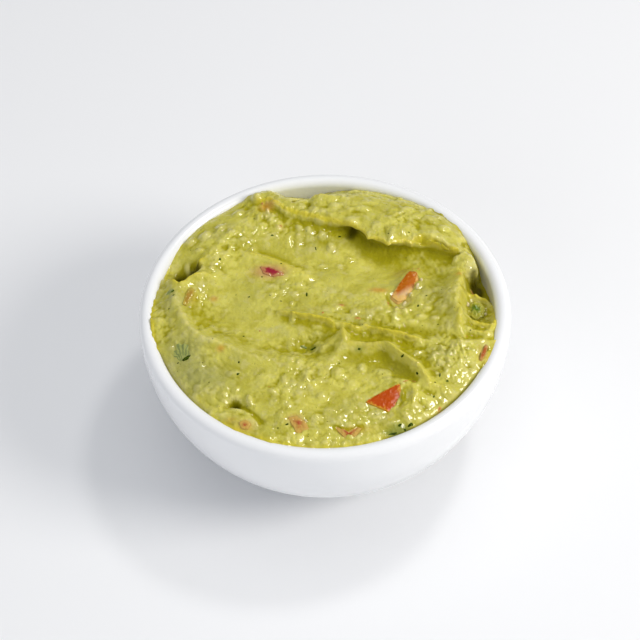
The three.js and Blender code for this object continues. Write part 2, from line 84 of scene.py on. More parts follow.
def camera_frame():
    """The camera's place, and the ways right, up and forward from it."""
    angle, roll = math.radians(VIEW_ANGLE), math.radians(VIEW_ROLL)
    back = np.array([0, -math.cos(angle), math.sin(angle)])
    right = np.array([1.0, 0, 0])
    up = np.cross(right, -back)
    across, down = (math.atan2(pixels, FOCAL) for pixels in OFF_CENTRE)
    swing = turn_about(up, across) @ turn_about(right, down)
    right, up, forward = swing @ right, swing @ up, swing @ -back
    level_right = math.cos(roll) * right + math.sin(roll) * up
    level_up = math.cos(roll) * up - math.sin(roll) * right
    return VIEW_DISTANCE * back + [0, 0, BOWL_HEIGHT], level_right, level_up, forward


CAMERA = camera_frame()


def sight(across, down, level):
    """Where the line of sight through a pixel comes down to a level."""
    place, right, up, forward = CAMERA
    aside, above = (across - PICTURE / 2) / FOCAL, (PICTURE / 2 - down) / FOCAL
    way = forward + np.multiply.outer(aside, right) + np.multiply.outer(above, up)
    return place + ((level - place[2]) / way[..., 2])[..., None] * way


def spot(across, down, level):
    """The place (x, y), to a tenth of a millimetre, that the camera sees at a pixel and a level."""
    x, y, _ = sight(across, down, level)
    return round(float(x), 1), round(float(y), 1)


def course(*seen):
    """Places (x, y, level) in a row, from where the camera sees them: pixels across and down, and level."""
    return [(*spot(across, down, level), level) for across, down, level in seen]


# ---- The guacamole's relief ----

SHARP = 1.5  # a crest that falls away faster than this on one side has a thin edge
HEIGHT_CALM = 0.25  # how strongly a crest's heights are held back where points pull against each other
FIRST_SHARE = 0.7  # of what is missing, where they are held
SIGHT_STEPS = 12  # in which a line of sight is followed to the mash
CREST_GAIN = 1.12  # what makes up for the height that the wandering of the crests costs
PLAIN = 51.6  # the level away from the wall
EDGE_BAND = 9.0  # how far in from the wall its own level reaches

# The level where the mash meets the wall, going round from +X: (degrees, height). The first list is without
# the gaps by the wall, and the crests are worked out on it. The second is the mash's own.
CREST_EDGE = [
    (0, 50.4), (7, 50), (17, 50.2), (24, 50.8), (34, 51), (48, 51.4), (62, 50.3), (76, 49.4), (88, 46.6),
    (95, 44.2), (109, 46.4), (114, 51), (125, 50.3), (140, 50.8), (152, 50.3), (159, 50.6), (164, 51.2),
    (172, 51), (182, 51.5), (196, 51.2), (212, 49.8), (226, 48.9), (232, 49.5), (240, 49.8), (246, 50.8),
    (260, 50.9), (290, 51.1), (306, 50.4), (320, 49.8), (332, 50), (338, 49.8), (345, 50.8), (353, 49.6),
]
EDGE = [
    (0, 46.5), (7, 45.2), (17, 43.6), (24, 48.4), (34, 51), (48, 51.4), (62, 50.3), (76, 49.4), (88, 46.6),
    (95, 44.2), (109, 46.4), (114, 51), (125, 50.3), (140, 50.8), (152, 50.3), (164, 49), (172, 50.2),
    (182, 51.5), (196, 51.2), (212, 49.8), (226, 49.6), (240, 51.5), (260, 50.9), (290, 51.1), (306, 50.4),
    (320, 49.8), (332, 50.3), (345, 51.1), (353, 49.6),
]

# How deep the mash rolls down at the wall, going round: (degrees, depth). Where that is little, a film of
# mash stays on the wall.
EDGE_ROLL = [
    (0, 0.6), (20, 0.3), (55, 1.2), (70, 0.8), (110, 0.8), (140, 0.6), (152, 0.2), (196, 0.2), (204, 2.4),
    (226, 2.4), (230, 0.2), (250, 0.2), (285, 0.4), (292, 2.4), (326, 2.6), (336, 0.5), (350, 0.5),
    (360, 0.6),
]

# Broad mounds and hollows: centre, half-lengths, turn in degrees, height.
MOUNDS = [
    ((49.8, 10.2), (1.8, 2.2), 0, -2),  # gap by the right wall
    (spot(392, 268, 49.3), (25, 8.5), -8, -2.8),  # trough in front of the fold
    (spot(372, 254, 49.4), (11, 4), -26, -1.3),  # its deep end, under the fold
    (spot(300, 246, 50.3), (16, 9), 20, -1),  # left end of the trough
    (spot(228, 318, 50.6), (20, 8.5), -24, -1.5),  # long sweep on the left
    (spot(308, 350, 49.9), (10, 4.2), -6, -2.2),  # dip beside the peak
    (spot(400, 333, 50.4), (17, 3), -14, -1),  # furrow between the long crests
    (spot(396, 370, 50.6), (8, 4.6), -40, -1.3),  # hollow inside the curved crest
    (spot(474, 307, 47), (4.6, 9.5), 0, -5),  # low ground along the right wall
    ((-46, 17.4), (4.6, 3.4), 25, -3.4),  # pit by the left wall
    ((-46.9, 15.4), (1.7, 2), 0, -3.2),  # its left hole
    ((-42.2, 18.4), (1.3, 1.8), 20, -3),  # its right hole
    (spot(352, 234, 45.4), (4.2, 2.4), -30, -2.4),  # hole under the arch of the fold
    (spot(300, 205, 46), (7.5, 4), 0, -3.2),  # gap along the back wall
    (spot(318, 392, 53.6), (30, 12), -4, 1.9),  # front mound
    (spot(225, 232, 52.8), (14, 10), 35, 1),  # back left mound
    (spot(395, 215, 53.4), (25, 9), -20, 1.9),  # shelf behind the fold
    (spot(322, 205, 53.2), (8, 5.5), -10, 1.5),  # head of the shelf
    (spot(239, 420.5, 50.2), (6.4, 3.2), -26, -1),  # lump by the front left wall
    (spot(467.5, 262, 54), (3.4, 4.2), 0, 2),  # lump beside the right wall
    (spot(257, 198, 52.6), (3, 3.2), 0, 2.4),  # tip against the back wall
    (spot(450, 360, 52.9), (10, 11), -28, 1.5),  # slab in the right corner
]

# The big fold: its lip, and the line (x, y) that it leans out from.
LIP_LINE = course(
    (257.4, 209, 53), (263.5, 205, 53.9), (272, 204.5, 54.4), (279, 209, 54.3), (285, 214.5, 54),
    (303, 218.2, 54), (323.9, 223.4, 54.3), (340, 224.6, 54.7), (351, 226.3, 55.1), (359.7, 229.4, 55.3),
    (365.7, 234, 55.5), (368, 239.9, 55.7), (371, 239.6, 55.7), (374, 238.5, 55.7), (378.8, 240.2, 55.8),
    (383.6, 243.8, 55.9), (388.9, 249.2, 55.9), (392, 246, 55.8), (398, 243.8, 55.6), (405, 243.8, 55.2),
    (411, 246.4, 54.9), (414.7, 242, 54.6), (419.4, 243, 54.2), (429, 246.9, 53.8), (443.3, 252.6, 53.4),
    (452.9, 259.3, 53))
LIP_ROOT = [
    (-26, 46), (-18, 46), (-12, 41.5), (0, 37), (8, 35), (14, 31.5), (20, 28.4), (27, 27.2), (33, 26.4),
    (38, 25.2), (44, 22.8),
]
FOLD_ENDS = (-25, 47)  # x where it starts and ends
FOLD_BACK = 11.0  # how far behind the root line it rises
FOLD_START = 6.0  # how far behind the root line it begins to lean
FOLD_FACE = 2.4  # how far in front of its edge the trough's ground is reached
SHEET = 0.5  # thickness of the sheet's edge
SHEET_ROUND = 0.6
# The blunt form of the fold, which the crests are worked out on.
BLUNT_SHEET = 1.0
BLUNT_ROUND = 0.9
BLUNT_FACE = 2.2
BLUNT_SLOPE = 2.0
# How much of the way to its lip it leans out, and how deep the cave under it is: (x, share) and (x, depth).
FOLD_LEAN = [(-25, 0.1), (-5, 0.1), (4, 0.4), (9, 1), (15, 1), (22, 0.8), (30, 0.7), (42, 0.5)]
FOLD_CAVE = [(-5, 0), (4, 0.4), (7, 1.6), (10, 3.4), (14, 2.4), (18, 1.4), (24, 1.0), (32, 0)]

# Crests: where each runs and the level that it reaches there, and how fast it falls away to the left and to
# the right. A crest that lies below the ground is a groove.
CREST_LINES = [
    # a smaller fold behind its right end
    (course((412, 235.8, 54.4), (416.6, 233.6, 55.5), (429, 235, 56), (443.3, 240.8, 56),
            (455.3, 246.8, 55)), 4, 0.8),
    # hollow under it
    (course((422, 239.8, 53), (434, 242.6, 52.4), (445, 247.2, 52.2), (453, 251.6, 52.6)), 0.8, 1),
    # the straight crest down the right side
    (course((459.5, 270, 53.6), (462.8, 285, 54.9), (462, 305, 54.6), (459.8, 322, 53.9),
            (461.5, 336, 52.8)), 1.7, 5),
    # the long thin crest, left part
    (course((279, 311.5, 51.9), (292, 312.8, 53.1), (308, 314.4, 53.8), (325, 319, 53.9),
            (334, 324, 53.6)), 4, 0.8),
    # the long thin crest, middle part
    (course((338, 322.6, 53.2), (347, 323.6, 53.8), (356, 327, 53.7), (365, 328.2, 52.8)), 3.5, 0.8),
    # the long thin crest, right part
    (course((365, 325.8, 53), (377, 328.7, 53.7), (390, 331.8, 53.9), (404, 333.8, 53.9),
            (424, 340.6, 52.9)), 3, 1.3),
    # a step beyond it
    (course((422, 339.6, 52.4), (430, 341.5, 52.8), (438, 345.5, 52.3)), 3, 0.9),
    # upper edge of the corner slab
    (course((436, 341, 52.4), (450, 343, 53.1), (468, 342.2, 53), (484, 341, 52.2)), 1.6, 7),
    # the peak
    (course((343, 328, 57.8), (343.6, 331.5, 56.5), (345, 336.5, 55), (347.5, 341, 54)), 1.7, 1.9),
    # the front of the peak
    (course((342.5, 335, 55.9), (341, 343, 54.4), (337, 352, 53.1), (333, 360, 52.6)), 3.2, 3.2),
    # the curved crest that trails from the peak
    (course((350, 342, 54.7), (366.5, 343.4, 54.9), (386.5, 343, 55.7), (398.2, 350.6, 55.9),
            (412, 359, 55.9), (420.5, 367.6, 55.7), (427.5, 377.3, 55.2), (433.5, 383, 54.3),
            (441, 387.5, 53.2), (449, 391, 52.4)), 2, 2.3),
    # the peak's left skirt
    (course((338.5, 336.5, 54.4), (331, 341.5, 53), (322, 347, 52.2)), 1.8, 2.6),
    # the brow of the front mound
    (course((172.5, 283, 53.2), (176, 296, 54.4), (181, 314, 54.9), (190, 328, 55), (206, 338, 54.9),
            (226, 346, 54.8), (250, 354.2, 54.4), (270, 359, 53.9), (292, 361, 53.2)), 4, 4.6),
    # the torn edge over the pit on the left
    (course((166, 276, 52.8), (173.5, 278.4, 54.3), (178, 281.5, 53.6), (183, 281.5, 53.5),
            (189, 277.5, 53.7), (196, 273.4, 54.3), (205, 273.6, 53.4), (214, 276.3, 52.4)), 0.8, 4),
    # back edge of the smooth plain, left part
    (course((196.7, 267, 51.9), (204, 258, 52.5), (214, 251.5, 52.5), (226, 250, 51.9)), 1.3, 6),
    # back edge of the smooth plain, right part
    (course((238, 252, 51.8), (252, 253.6, 52.4), (271, 258, 52.4), (287, 264.7, 52.3), (303, 273, 52),
            (313, 282, 51.4)), 1.1, 6),
    # groove above the front left lump
    ([(-33.2, -39.4, 51.2), (-30.4, -38.7, 50.2), (-28.5, -38.4, 47.4), (-26.6, -39.5, 50.6),
      (-23.6, -41.6, 50.8), (-20.6, -45.6, 50.3)], 1.2, 0.9),
    # foot of the torn edge
    ([(-50.2, 14.6, 50.4), (-48.4, 13.4, 48.6), (-46.8, 13, 48), (-45, 14, 48.6), (-43, 15.9, 48.8),
      (-41, 17.2, 50)], 1.3, 0.7),
    # seam by the front wall
    (course((337, 431, 50.6), (350, 433, 50.2), (362, 430, 50.6)), 1.2, 1.2),
    # roll round the right side of the front tomato
    (course((401, 383.5, 53), (411, 385, 53.7), (416, 393, 53.9), (411, 405, 53.4),
            (398, 414, 52.6)), 2, 1.6),
    # smear up the right wall
    (course((493, 298, 50.8), (496, 310, 51.4), (495, 322, 51.5), (490, 331, 51.4)), 1.3, 1.3),
    # curl under the green chunk
    (course((461, 309, 51.2), (467, 316, 51.3), (476, 321.5, 51.5), (486, 324, 51.5),
            (494, 325, 51.3)), 1.3, 1.2),
    # second smear below it
    (course((465, 329.5, 52.3), (478, 331.5, 52.4), (490, 333.5, 52)), 1.1, 1.4),
    # step above the green chunk
    (course((463, 291, 50.8), (475, 290, 51.6), (487, 291.5, 51.2)), 0.8, 2.4),
    # slit in the back left mound
    (course((262, 232.3, 51.6), (267.8, 235.2, 51.6)), 0.5, 0.5),
    # crack beside the head of the shelf
    (course((294.5, 209.3, 48.5), (301, 206.8, 48.5), (308.5, 205.2, 48.8)), 0.6, 0.7),
    # slit beside the right tomato
    (course((387, 297.5, 50.6), (388.5, 302, 50.2), (390.5, 306.5, 50.6)), 0.5, 0.5),
    # nick near the wall
    (course((189.6, 236.2, 50), (192, 232.6, 50)), 0.5, 0.5),
    # head of the shelf, its left edge
    (course((308, 205.8, 52.4), (312.9, 197.2, 53.8), (320, 194.3, 54.3), (333.9, 198.2, 54.2),
            (347, 200, 53.6)), 1.1, 2.2),
]

# Single lumps that stand out: centre, half-lengths, turn in degrees, height, and how wet they are. A centre in
# the first list is where the camera sees it, pixels across and down, and in the second it is in millimetres.
SEEN_KNOBS = [
    ((273, 206.5), (3.2, 1.9), -10, 1.3, 0.2), ((257, 198.5), (2, 2.2), 0, 1.6, 0.2),
    ((268, 212), (1.2, 3), 10, 0.9, 0.5), ((334.6, 206.7), (2.4, 1.7), 0, 1.1, 0.6),
    ((351, 218), (3.2, 1.9), -15, 0.9, 0.3), ((376, 222.5), (2.8, 2), 0, 0.9, 0.8),
    ((393, 227), (2.4, 1.8), 0, 0.8, 0.8), ((430, 219.5), (3.2, 1.8), -20, 0.9, 0.6),
    ((407, 210), (2.6, 1.8), -10, 0.7, 0.2), ((363, 209), (3, 1.6), -10, 0.7, 0.2),
    ((445, 229), (2.4, 1.8), -30, 0.8, 0.3), ((322, 236), (1.8, 2.2), 0, 0.8, 1),
    ((331, 247), (1.7, 2.2), 0, 0.8, 1), ((322.7, 266.4), (2.2, 1.2), 10, 0.6, 1),
    ((340, 266.5), (1.7, 1.1), 0, 0.6, 1), ((350, 259.2), (2, 1.1), 0, 0.5, 0.7),
    ((396.8, 309.6), (1.4, 1.5), 0, 1, 1), ((405, 311), (1.3, 1.4), 0, 0.9, 1),
    ((418.5, 287.2), (1.3, 1), 0, 0.6, 1), ((404, 304), (2.2, 1.3), 40, 0.6, 0.5),
    ((436, 290), (2, 1.3), 0, 0.6, 0.6), ((427, 309), (1.7, 1.3), 0, 0.8, 0.5),
    ((421, 317), (2, 1.3), 0, 0.8, 0.3), ((434, 319), (1.7, 1.3), 0, 0.7, 0.3),
    ((443, 308), (1.6, 1.3), 0, 0.6, 0.3), ((412, 322), (1.8, 1.2), 0, 0.6, 0.4),
    ((361.8, 368.5), (1.6, 2.4), 0, 0.9, 1), ((384, 373), (3.4, 2.2), -15, 0.9, 1),
    ((338, 373.5), (2.2, 2.6), 0, 0.9, 0.8), ((352, 385), (2.6, 2.4), 0, 0.8, 0.4),
    ((331, 360), (2.4, 2), 0, 0.6, 0.3), ((411.5, 397), (2.2, 3.2), 10, 1.2, 0.9),
    ((407, 418), (2.6, 2.2), 0, 1.1, 0.9), ((428, 402), (2.8, 2.2), 0, 0.9, 0.9),
    ((418, 409), (2, 1.8), 0, 0.7, 0.6), ((390, 424), (3, 1.8), 0, 0.8, 0.5),
    ((249.5, 401), (1.4, 2.6), 10, 1.3, 1), ((233, 374), (2.2, 1.3), 0, 0.6, 0.5),
    ((284, 381), (1.7, 2.6), 0, 0.8, 0.9), ((306, 378), (1.7, 3.4), 0, 0.9, 1),
    ((315.5, 419.5), (2.4, 2), 20, 0.9, 1), ((300, 394), (2.2, 1.6), 0, 0.7, 0.6),
    ((272, 392), (2, 1.6), 0, 0.6, 0.4), ((322, 397), (2, 2.2), 0, 0.7, 0.4),
    ((330, 411), (2.4, 1.8), 0, 0.7, 0.5), ((263, 378), (2.4, 1.8), 0, 0.6, 0.3),
    ((252.5, 250.5), (1.7, 1.2), 0, 0.9, 1), ((211.8, 269), (1.5, 1.4), 0, 0.8, 1),
    ((199, 251), (1.8, 1.3), 0, 0.8, 0.9), ((243, 240.5), (2.2, 1.5), 10, 0.9, 1),
    ((232, 233), (2.4, 1.7), 30, 0.9, 1), ((222, 243), (2.2, 1.6), 30, 0.8, 0.7),
    ((221, 228), (2.2, 1.6), 35, 0.8, 0.9), ((208, 216), (2.8, 1.7), 35, 0.8, 0.3),
    ((238, 214), (2.4, 1.5), 35, 0.7, 0.4), ((258.5, 219), (1.4, 2.8), 0, 0.8, 0.9),
    ((205, 236), (2.4, 1.8), 40, 0.9, 0.3), ((190, 243), (2.6, 1.8), 50, 0.9, 0.2),
    ((292, 304), (1.2, 1.3), 0, 0.6, 1), ((292.3, 319), (1.3, 2), 0, 0.8, 1),
    ((321.5, 234.5), (1.2, 1.2), 0, 0.4, 1), ((345, 316), (1.8, 1.3), 0, 0.6, 0.4),
    ((408, 340), (2, 1.3), 0, 0.7, 1), ((418.4, 345), (2.2, 1.4), 0, 0.7, 1),
    ((449, 357), (3, 1.6), 70, 0.6, 1), ((459, 366), (3.2, 1.6), 65, 0.6, 1),
    ((470, 358), (3, 1.6), 60, 0.6, 1), ((447, 374), (2.8, 1.8), 60, 0.7, 0.8),
    ((483, 345), (3.2, 2.2), -10, 1, 0.5), ((470, 343.5), (2.6, 1.6), -5, 0.6, 0.5),
    ((476, 373), (2.4, 1.8), 50, 0.6, 0.8),
]
LAID_KNOBS = [((46.8, 15.2), (3.6, 4.2), 0, 0.4, 1), ((-44.7, 18.6), (1.5, 3.2), 10, 1.1, 0.1)]

# Rounded lumps with steep sides: centre, half-lengths, turn, the level of their foot, and how far they rise
# from it.
BLOBS = [
    ((46.3, 16.4), (4.6, 5.2), 0, 50.8, 3.3),  # the lump beside the right wall
    ((-29.5, -49.2), (9.4, 8.2), -12, 50.3, 2),  # the lump by the front left wall
]

# Where the spoon left the mash smooth, and where it is torn up and glints: centre, half-lengths, turn, and
# how much.
SMOOTH = [
    ((22, 15), (20, 9), -8, 0.85), ((-26, 14), (15, 8), -25, 0.75), ((0, 22), (14, 8), 10, 0.5), ((-38, -8),
    (8, 9), 60, 0.4), ((-28, -3), (17, 7), -24, 0.6), ((6, 9), (14, 7), 0, 0.5), ((25, -25), (5.5, 3.5),
    -45, 0.6), ((5.8, -17), (3, 4), 0, 0.9), ((-26, -45), (6, 4), -20, 0.8), ((4, 25), (7, 4), 10, 0.6),
]
CLING = 3.5  # how steeply the film of mash that clings to the wall falls away inwards
TORN = [
    ((-33, 33), (8, 5), 30, 1), ((-21, 38), (5, 5), 0, 0.8), ((0, 28), (6, 5), 0, 0.7), ((-8, 20), (6, 4),
    0, 0.4), ((40, -24), (9, 10), 20, 1.5), ((46.4, 16.4), (4.5, 5), 0, 1.6), ((10, -25), (9, 5), 0, 0.8),
    ((-4, -29), (12, 6), 0, 0.7), ((-10, -3.5), (3, 4), 0, 0.7), ((50, 0), (4, 4), 0, 1), ((20, -30),
    (6, 5), 0, 0.7), ((34, -38), (6, 5), 0, 0.8), ((24, 38), (12, 6), -20, 0.5), ((-30, -38), (5, 3), 0,
    0.6), ((14, -46), (10, 4), 0, 0.6), ((30, -3), (8, 5), 0, 0.5),
]

# Lumps all over the mash: how many, least and most size, least and most height, seed.
BIG_LUMPS = (190, (2.0, 4.4), (0.4, 1.3), 11)
MIDDLE_LUMPS = (1000, (1.3, 2.7), (0.3, 1.1), 12)
SMALL_LUMPS = (3800, (0.6, 1.1), (0.12, 0.45), 13)

# Diced vegetables: outline of the top, thickness, middle, turn, slope along and across, how far each stands
# out, how much mash covers its edges, the facet that cuts its top (slopes and start), which way its other
# colour lies, and the lumps of mash on it (place and half-lengths).
DICE = {
    "tomato_front": dict(
        outline=[(-6.6, -1.2), (4.2, 5.3), (4.3, 1.0), (1.0, -4.6)], thick=4.4, at=(18.4, -38.9), turn=0,
        tip=(8, 3), proud=0.5, cover=-0.1, facet=(0.55, -0.36, 1.5), far=(0.9, -0.42),
        lids=[(5.4, 0.6, 1.2, 2.6)]),
    "tomato_right": dict(
        outline=[(-6.8, -1.6), (-6.2, 1.9), (5.9, 2.4), (7.0, 0.4), (5.4, -2.4), (-3.5, -2.9)], thick=4.2,
        at=(26.4, 7.6), turn=54, tip=(4, -6), proud=0.7, cover=0.1, facet=(0.1, -0.8, 0.9),
        far=(-0.35, -0.94), lids=[(-1.5, -3.2, 1.0, 0.9), (2.6, -2.9, 1.3, 0.8)]),
    "tomato_front_small": dict(
        outline=[(-3.4, 1.8), (-0.8, 2.2), (2.0, 0.4), (3.0, -1.8), (1.6, -4.0), (-0.4, -4.2),
        (-1.4, -1.4)], thick=2.8, at=(-8.8, -47.0), turn=0, tip=(14, 0), proud=0.3, cover=0.3,
        facet=(0, -0.4, 0.8), far=(0, -1), lids=[(-1.6, 1.0, 0.7, 0.5)]),
    "tomato_front_strip": dict(
        outline=[(-4.8, 2.6), (-3.4, 3.2), (-0.4, 0.6), (3.4, 3.4), (4.6, 3.0), (1.6, -0.9),
        (-1.4, -1.2)], thick=2.6, at=(6.6, -51.0), turn=0, tip=(14, 0), proud=0.3, cover=0.1,
        facet=(0, 0.5, 0.8), far=(0, -1), lids=[(-0.3, -0.6, 1.2, 0.9)]),
    "tomato_corner": dict(
        outline=[(-1.6, 0.9), (0.2, 1.5), (1.7, 0.5), (0.8, -1.1), (-1.0, -0.9)], thick=1.6,
        at=(-25.3, -46.9), turn=0, tip=(16, 0), proud=0.4, cover=-0.1, facet=(0.3, 0, 0.8), far=(0, -1),
        lids=[]),
    "tomato_edge": dict(
        outline=[(-0.7, 3.2), (0.35, 3.0), (0.45, -2.9), (-0.5, -3.1)], thick=2.4, at=(49.75, -21.2),
        turn=-22.8, tip=(0, 14), proud=0.3, cover=-0.2, facet=(0.3, 0, 0.8), far=(0, 1), lids=[]),
    "onion_red": dict(
        outline=[(-4.2, 1.3), (-1.6, 1.9), (3.9, 0.4), (4.2, -0.6), (1.2, -1.8), (-2.4, -1.3)], thick=2.2,
        at=(-17.2, 15.2), turn=-14, tip=(8, 0), proud=0.25, cover=0.1, facet=(0, 0.6, 0.7), far=(1, 0),
        lids=[]),
    "pepper_left": dict(
        outline=[(-3.9, -0.9), (-3.6, 0.8), (3.0, 1.2), (4.1, 0.2), (3.3, -1)], thick=2.2,
        at=(-43.9, 4.8), turn=72, tip=(6, 0), proud=0.15, cover=0.35, facet=(0, 0.4, 0.8), far=(0, 1),
        lids=[]),
    "avocado_right": dict(
        outline=[(-3.0, 1.6), (-1, 2.8), (2.0, 2.6), (3.2, 0.6), (2.2, -2.8), (-0.8, -3.6), (-2.8, -1.8)],
        thick=3.6, at=(49.0, 0.6), turn=8, tip=(10, 8), proud=0.7, cover=0.75, facet=(-0.7, 0.2, 1.2),
        far=(0, 1), lids=[(-2.4, -0.4, 0.8, 1.2)]),
}

# ---- Small helpers ----


def linear(hex_colour):
    """sRGB hex to the linear RGBA that shaders take."""
    channels = [int(hex_colour[i:i + 2], 16) / 255 for i in (1, 3, 5)]
    return [c / 12.92 if c <= 0.04045 else ((c + 0.055) / 1.055) ** 2.4 for c in channels] + [1.0]


def add(tree, kind, links=None, **settings):
    """Adds a node. Settings name its properties or else its input sockets, and links feed its inputs."""
    node = tree.nodes.new(kind)
    for name, value in settings.items():
        if hasattr(node, name):
            setattr(node, name, value)
        else:
            node.inputs[name.replace("_", " ")].default_value = value
    for name, source in (links or {}).items():
        tree.links.new(source, node.inputs[name])
    return node


def fresh(name, **settings):
    """A new material, its node tree, its shader with these settings, and the place on the object."""
    material = bpy.data.materials.new(name)
    material.use_nodes = True
    tree = material.node_tree
    shader = tree.nodes["Principled BSDF"]
    for key, value in settings.items():
        shader.inputs[key.replace("_", " ")].default_value = value
    return material, tree, shader, add(tree, "ShaderNodeTexCoord").outputs["Object"]


def blend(tree, share, under, over):
    """Mixes a colour socket or hex with another; share is a socket or a number."""
    node = add(tree, "ShaderNodeMix", data_type="RGBA")
    for slot, source in ((0, share), (6, under), (7, over)):
        if isinstance(source, str):
            node.inputs[slot].default_value = linear(source)
        elif isinstance(source, float):
            node.inputs[slot].default_value = source
        else:
            tree.links.new(source, node.inputs[slot])
    return node.outputs[2]


def ease(tree, source, low, high, top=1.0):
    """Eases a value from 0 at low to top at high."""
    node = add(tree, "ShaderNodeMapRange", {"Value": source}, interpolation_type="SMOOTHSTEP")
    node.inputs["From Min"].default_value = low
    node.inputs["From Max"].default_value = high
    node.inputs["To Min"].default_value = 0.0
    node.inputs["To Max"].default_value = top
    return node.outputs["Result"]


def grain(tree, place, size, detail=2.0, roughness=0.5):
    """Noise whose features are about size millimetres wide."""
    return add(tree, "ShaderNodeTexNoise", {"Vector": place}, Scale=1 / (size * MM), Detail=detail,
               Roughness=roughness).outputs["Fac"]


def mark(tree, name):
    """The value that the mesh carries under a name."""
    return add(tree, "ShaderNodeAttribute", attribute_name=name).outputs["Fac"]


def dents(tree, shader, height, strength, depth):
    """Bump from a height, depth in millimetres."""
    bump = add(tree, "ShaderNodeBump", {"Height": height}, Distance=depth * MM)
    if isinstance(strength, float):
        bump.inputs["Strength"].default_value = strength
    else:
        tree.links.new(strength, bump.inputs["Strength"])
    tree.links.new(bump.outputs["Normal"], shader.inputs["Normal"])


def make_mesh(name, vertices, faces, material, marks=None):
    mesh = bpy.data.meshes.new(name)
    mesh.from_pydata((np.asarray(vertices, float) * MM).tolist(), [], faces)
    mesh.polygons.foreach_set("use_smooth", [True] * len(mesh.polygons))
    mesh.materials.append(material)
    for key, values in (marks or {}).items():
        mesh.attributes.new(key, "FLOAT", "POINT").data.foreach_set("value", np.asarray(values, np.float32))
    mesh.update()
    piece = bpy.data.objects.new(name, mesh)
    bpy.context.scene.collection.objects.link(piece)
    return piece


def ring_faces(rings, steps, first=0):
    """Quads between rings of points that follow one another."""
    faces = []
    for k in range(rings - 1):
        a, b = first + k * steps, first + (k + 1) * steps
        for i in range(steps):
            j = (i + 1) % steps
            faces.append((a + i, a + j, b + j, b + i))
    return faces


def sheet_faces(n):
    """The quads of an n by n grid of points, and the points round its rim."""
    grid = np.arange(n * n).reshape(n, n)
    faces = np.stack([grid[:-1, :-1], grid[:-1, 1:], grid[1:, 1:], grid[1:, :-1]], -1).reshape(-1, 4)
    return faces, np.concatenate([grid[0, :-1], grid[:-1, -1], grid[-1, :0:-1], grid[:0:-1, 0]])


# ---- Camera, floor and light ----

ROOM_LIGHT = 0.475
LAMP_TARGET = (0, 0, 0.03)  # metres, the middle of the bowl
FLOOR_SIDE = 3000


def photographer():
    camera = bpy.data.cameras.new("camera")
    camera.sensor_width = SENSOR_WIDTH
    camera.lens = FOCAL * SENSOR_WIDTH / PICTURE
    camera.clip_start, camera.clip_end = SIGHT
    holder = bpy.data.objects.new("camera", camera)
    bpy.context.scene.collection.objects.link(holder)
    place, right, up, forward = CAMERA
    turn = Matrix(np.transpose([right, up, -forward]).tolist()).to_4x4()
    holder.matrix_world = Matrix.Translation(Vector(place) * MM) @ turn
    bpy.context.scene.camera = holder


def lamp(name, place, size, power, colour, mirrored=True):
    light = bpy.data.lights.new(name, "AREA")
    light.shape = "DISK"
    light.size = size
    light.energy = power
    light.color = linear(colour)[:3]
    holder = bpy.data.objects.new(name, light)
    holder.visible_glossy = mirrored
    holder.location = place
    aim = Vector(LAMP_TARGET) - Vector(place)
    holder.rotation_mode = "QUATERNION"
    holder.rotation_quaternion = aim.to_track_quat("-Z", "Y")
    bpy.context.scene.collection.objects.link(holder)


def studio():
    scene = bpy.context.scene
    scene.view_settings.view_transform = "Standard"
    world = bpy.data.worlds.new("studio")
    world.use_nodes = True
    tree = world.node_tree
    background = tree.nodes["Background"]
    # A pale room whose ceiling is the brightest part. Only the window and the skylight show in wet things.
    way = add(tree, "ShaderNodeSeparateXYZ", {"Vector": add(tree, "ShaderNodeTexCoord").outputs["Generated"]})
    upwards = ease(tree, way.outputs["Z"], -0.2, 1.1)
    tree.links.new(blend(tree, upwards, "#ecedf1", "#f4f6f9"), background.inputs["Color"])
    background.inputs["Strength"].default_value = ROOM_LIGHT
    world.cycles_visibility.glossy = False
    scene.world = world
    lamp("window", (0.87, -0.27, 0.66), 0.46, 6.8, "#fffbf5")
    lamp("skylight", (0.34, 0.32, 0.95), 0.16, 1.7, "#fffdfa")
    lamp("ceiling_softbox", (-0.05, 0.08, 1.30), 0.9, 2.2, "#fcfdff", mirrored=False)
    lamp("white_card", (-0.60, -0.75, 0.45), 0.9, 1.9, "#f8faff", mirrored=False)
    paper = fresh("matte_paper", Base_Color=linear("#eff0f2"), Roughness=0.9, Specular_IOR_Level=0.1)[0]
    corners = [(x * FLOOR_SIDE, y * FLOOR_SIDE, 0) for x, y in ((-1, -1), (1, -1), (1, 1), (-1, 1))]
    floor = make_mesh("floor", corners, [(0, 1, 2, 3)], paper)


# ---- Materials ----


def porcelain():
    """Slip-cast porcelain under clear glaze: white, faintly cool, with soft even gloss."""
    material, tree, shader, place = fresh("glazed_porcelain", Roughness=0.16, IOR=1.52)
    waves = grain(tree, place, 18, 1.0)  # the glaze pools into slow waves
    dents(tree, shader, waves, 0.05, 1.0)
    tree.links.new(blend(tree, waves, "#f3f4f6", "#eff1f3"), shader.inputs["Base Color"])
    return material


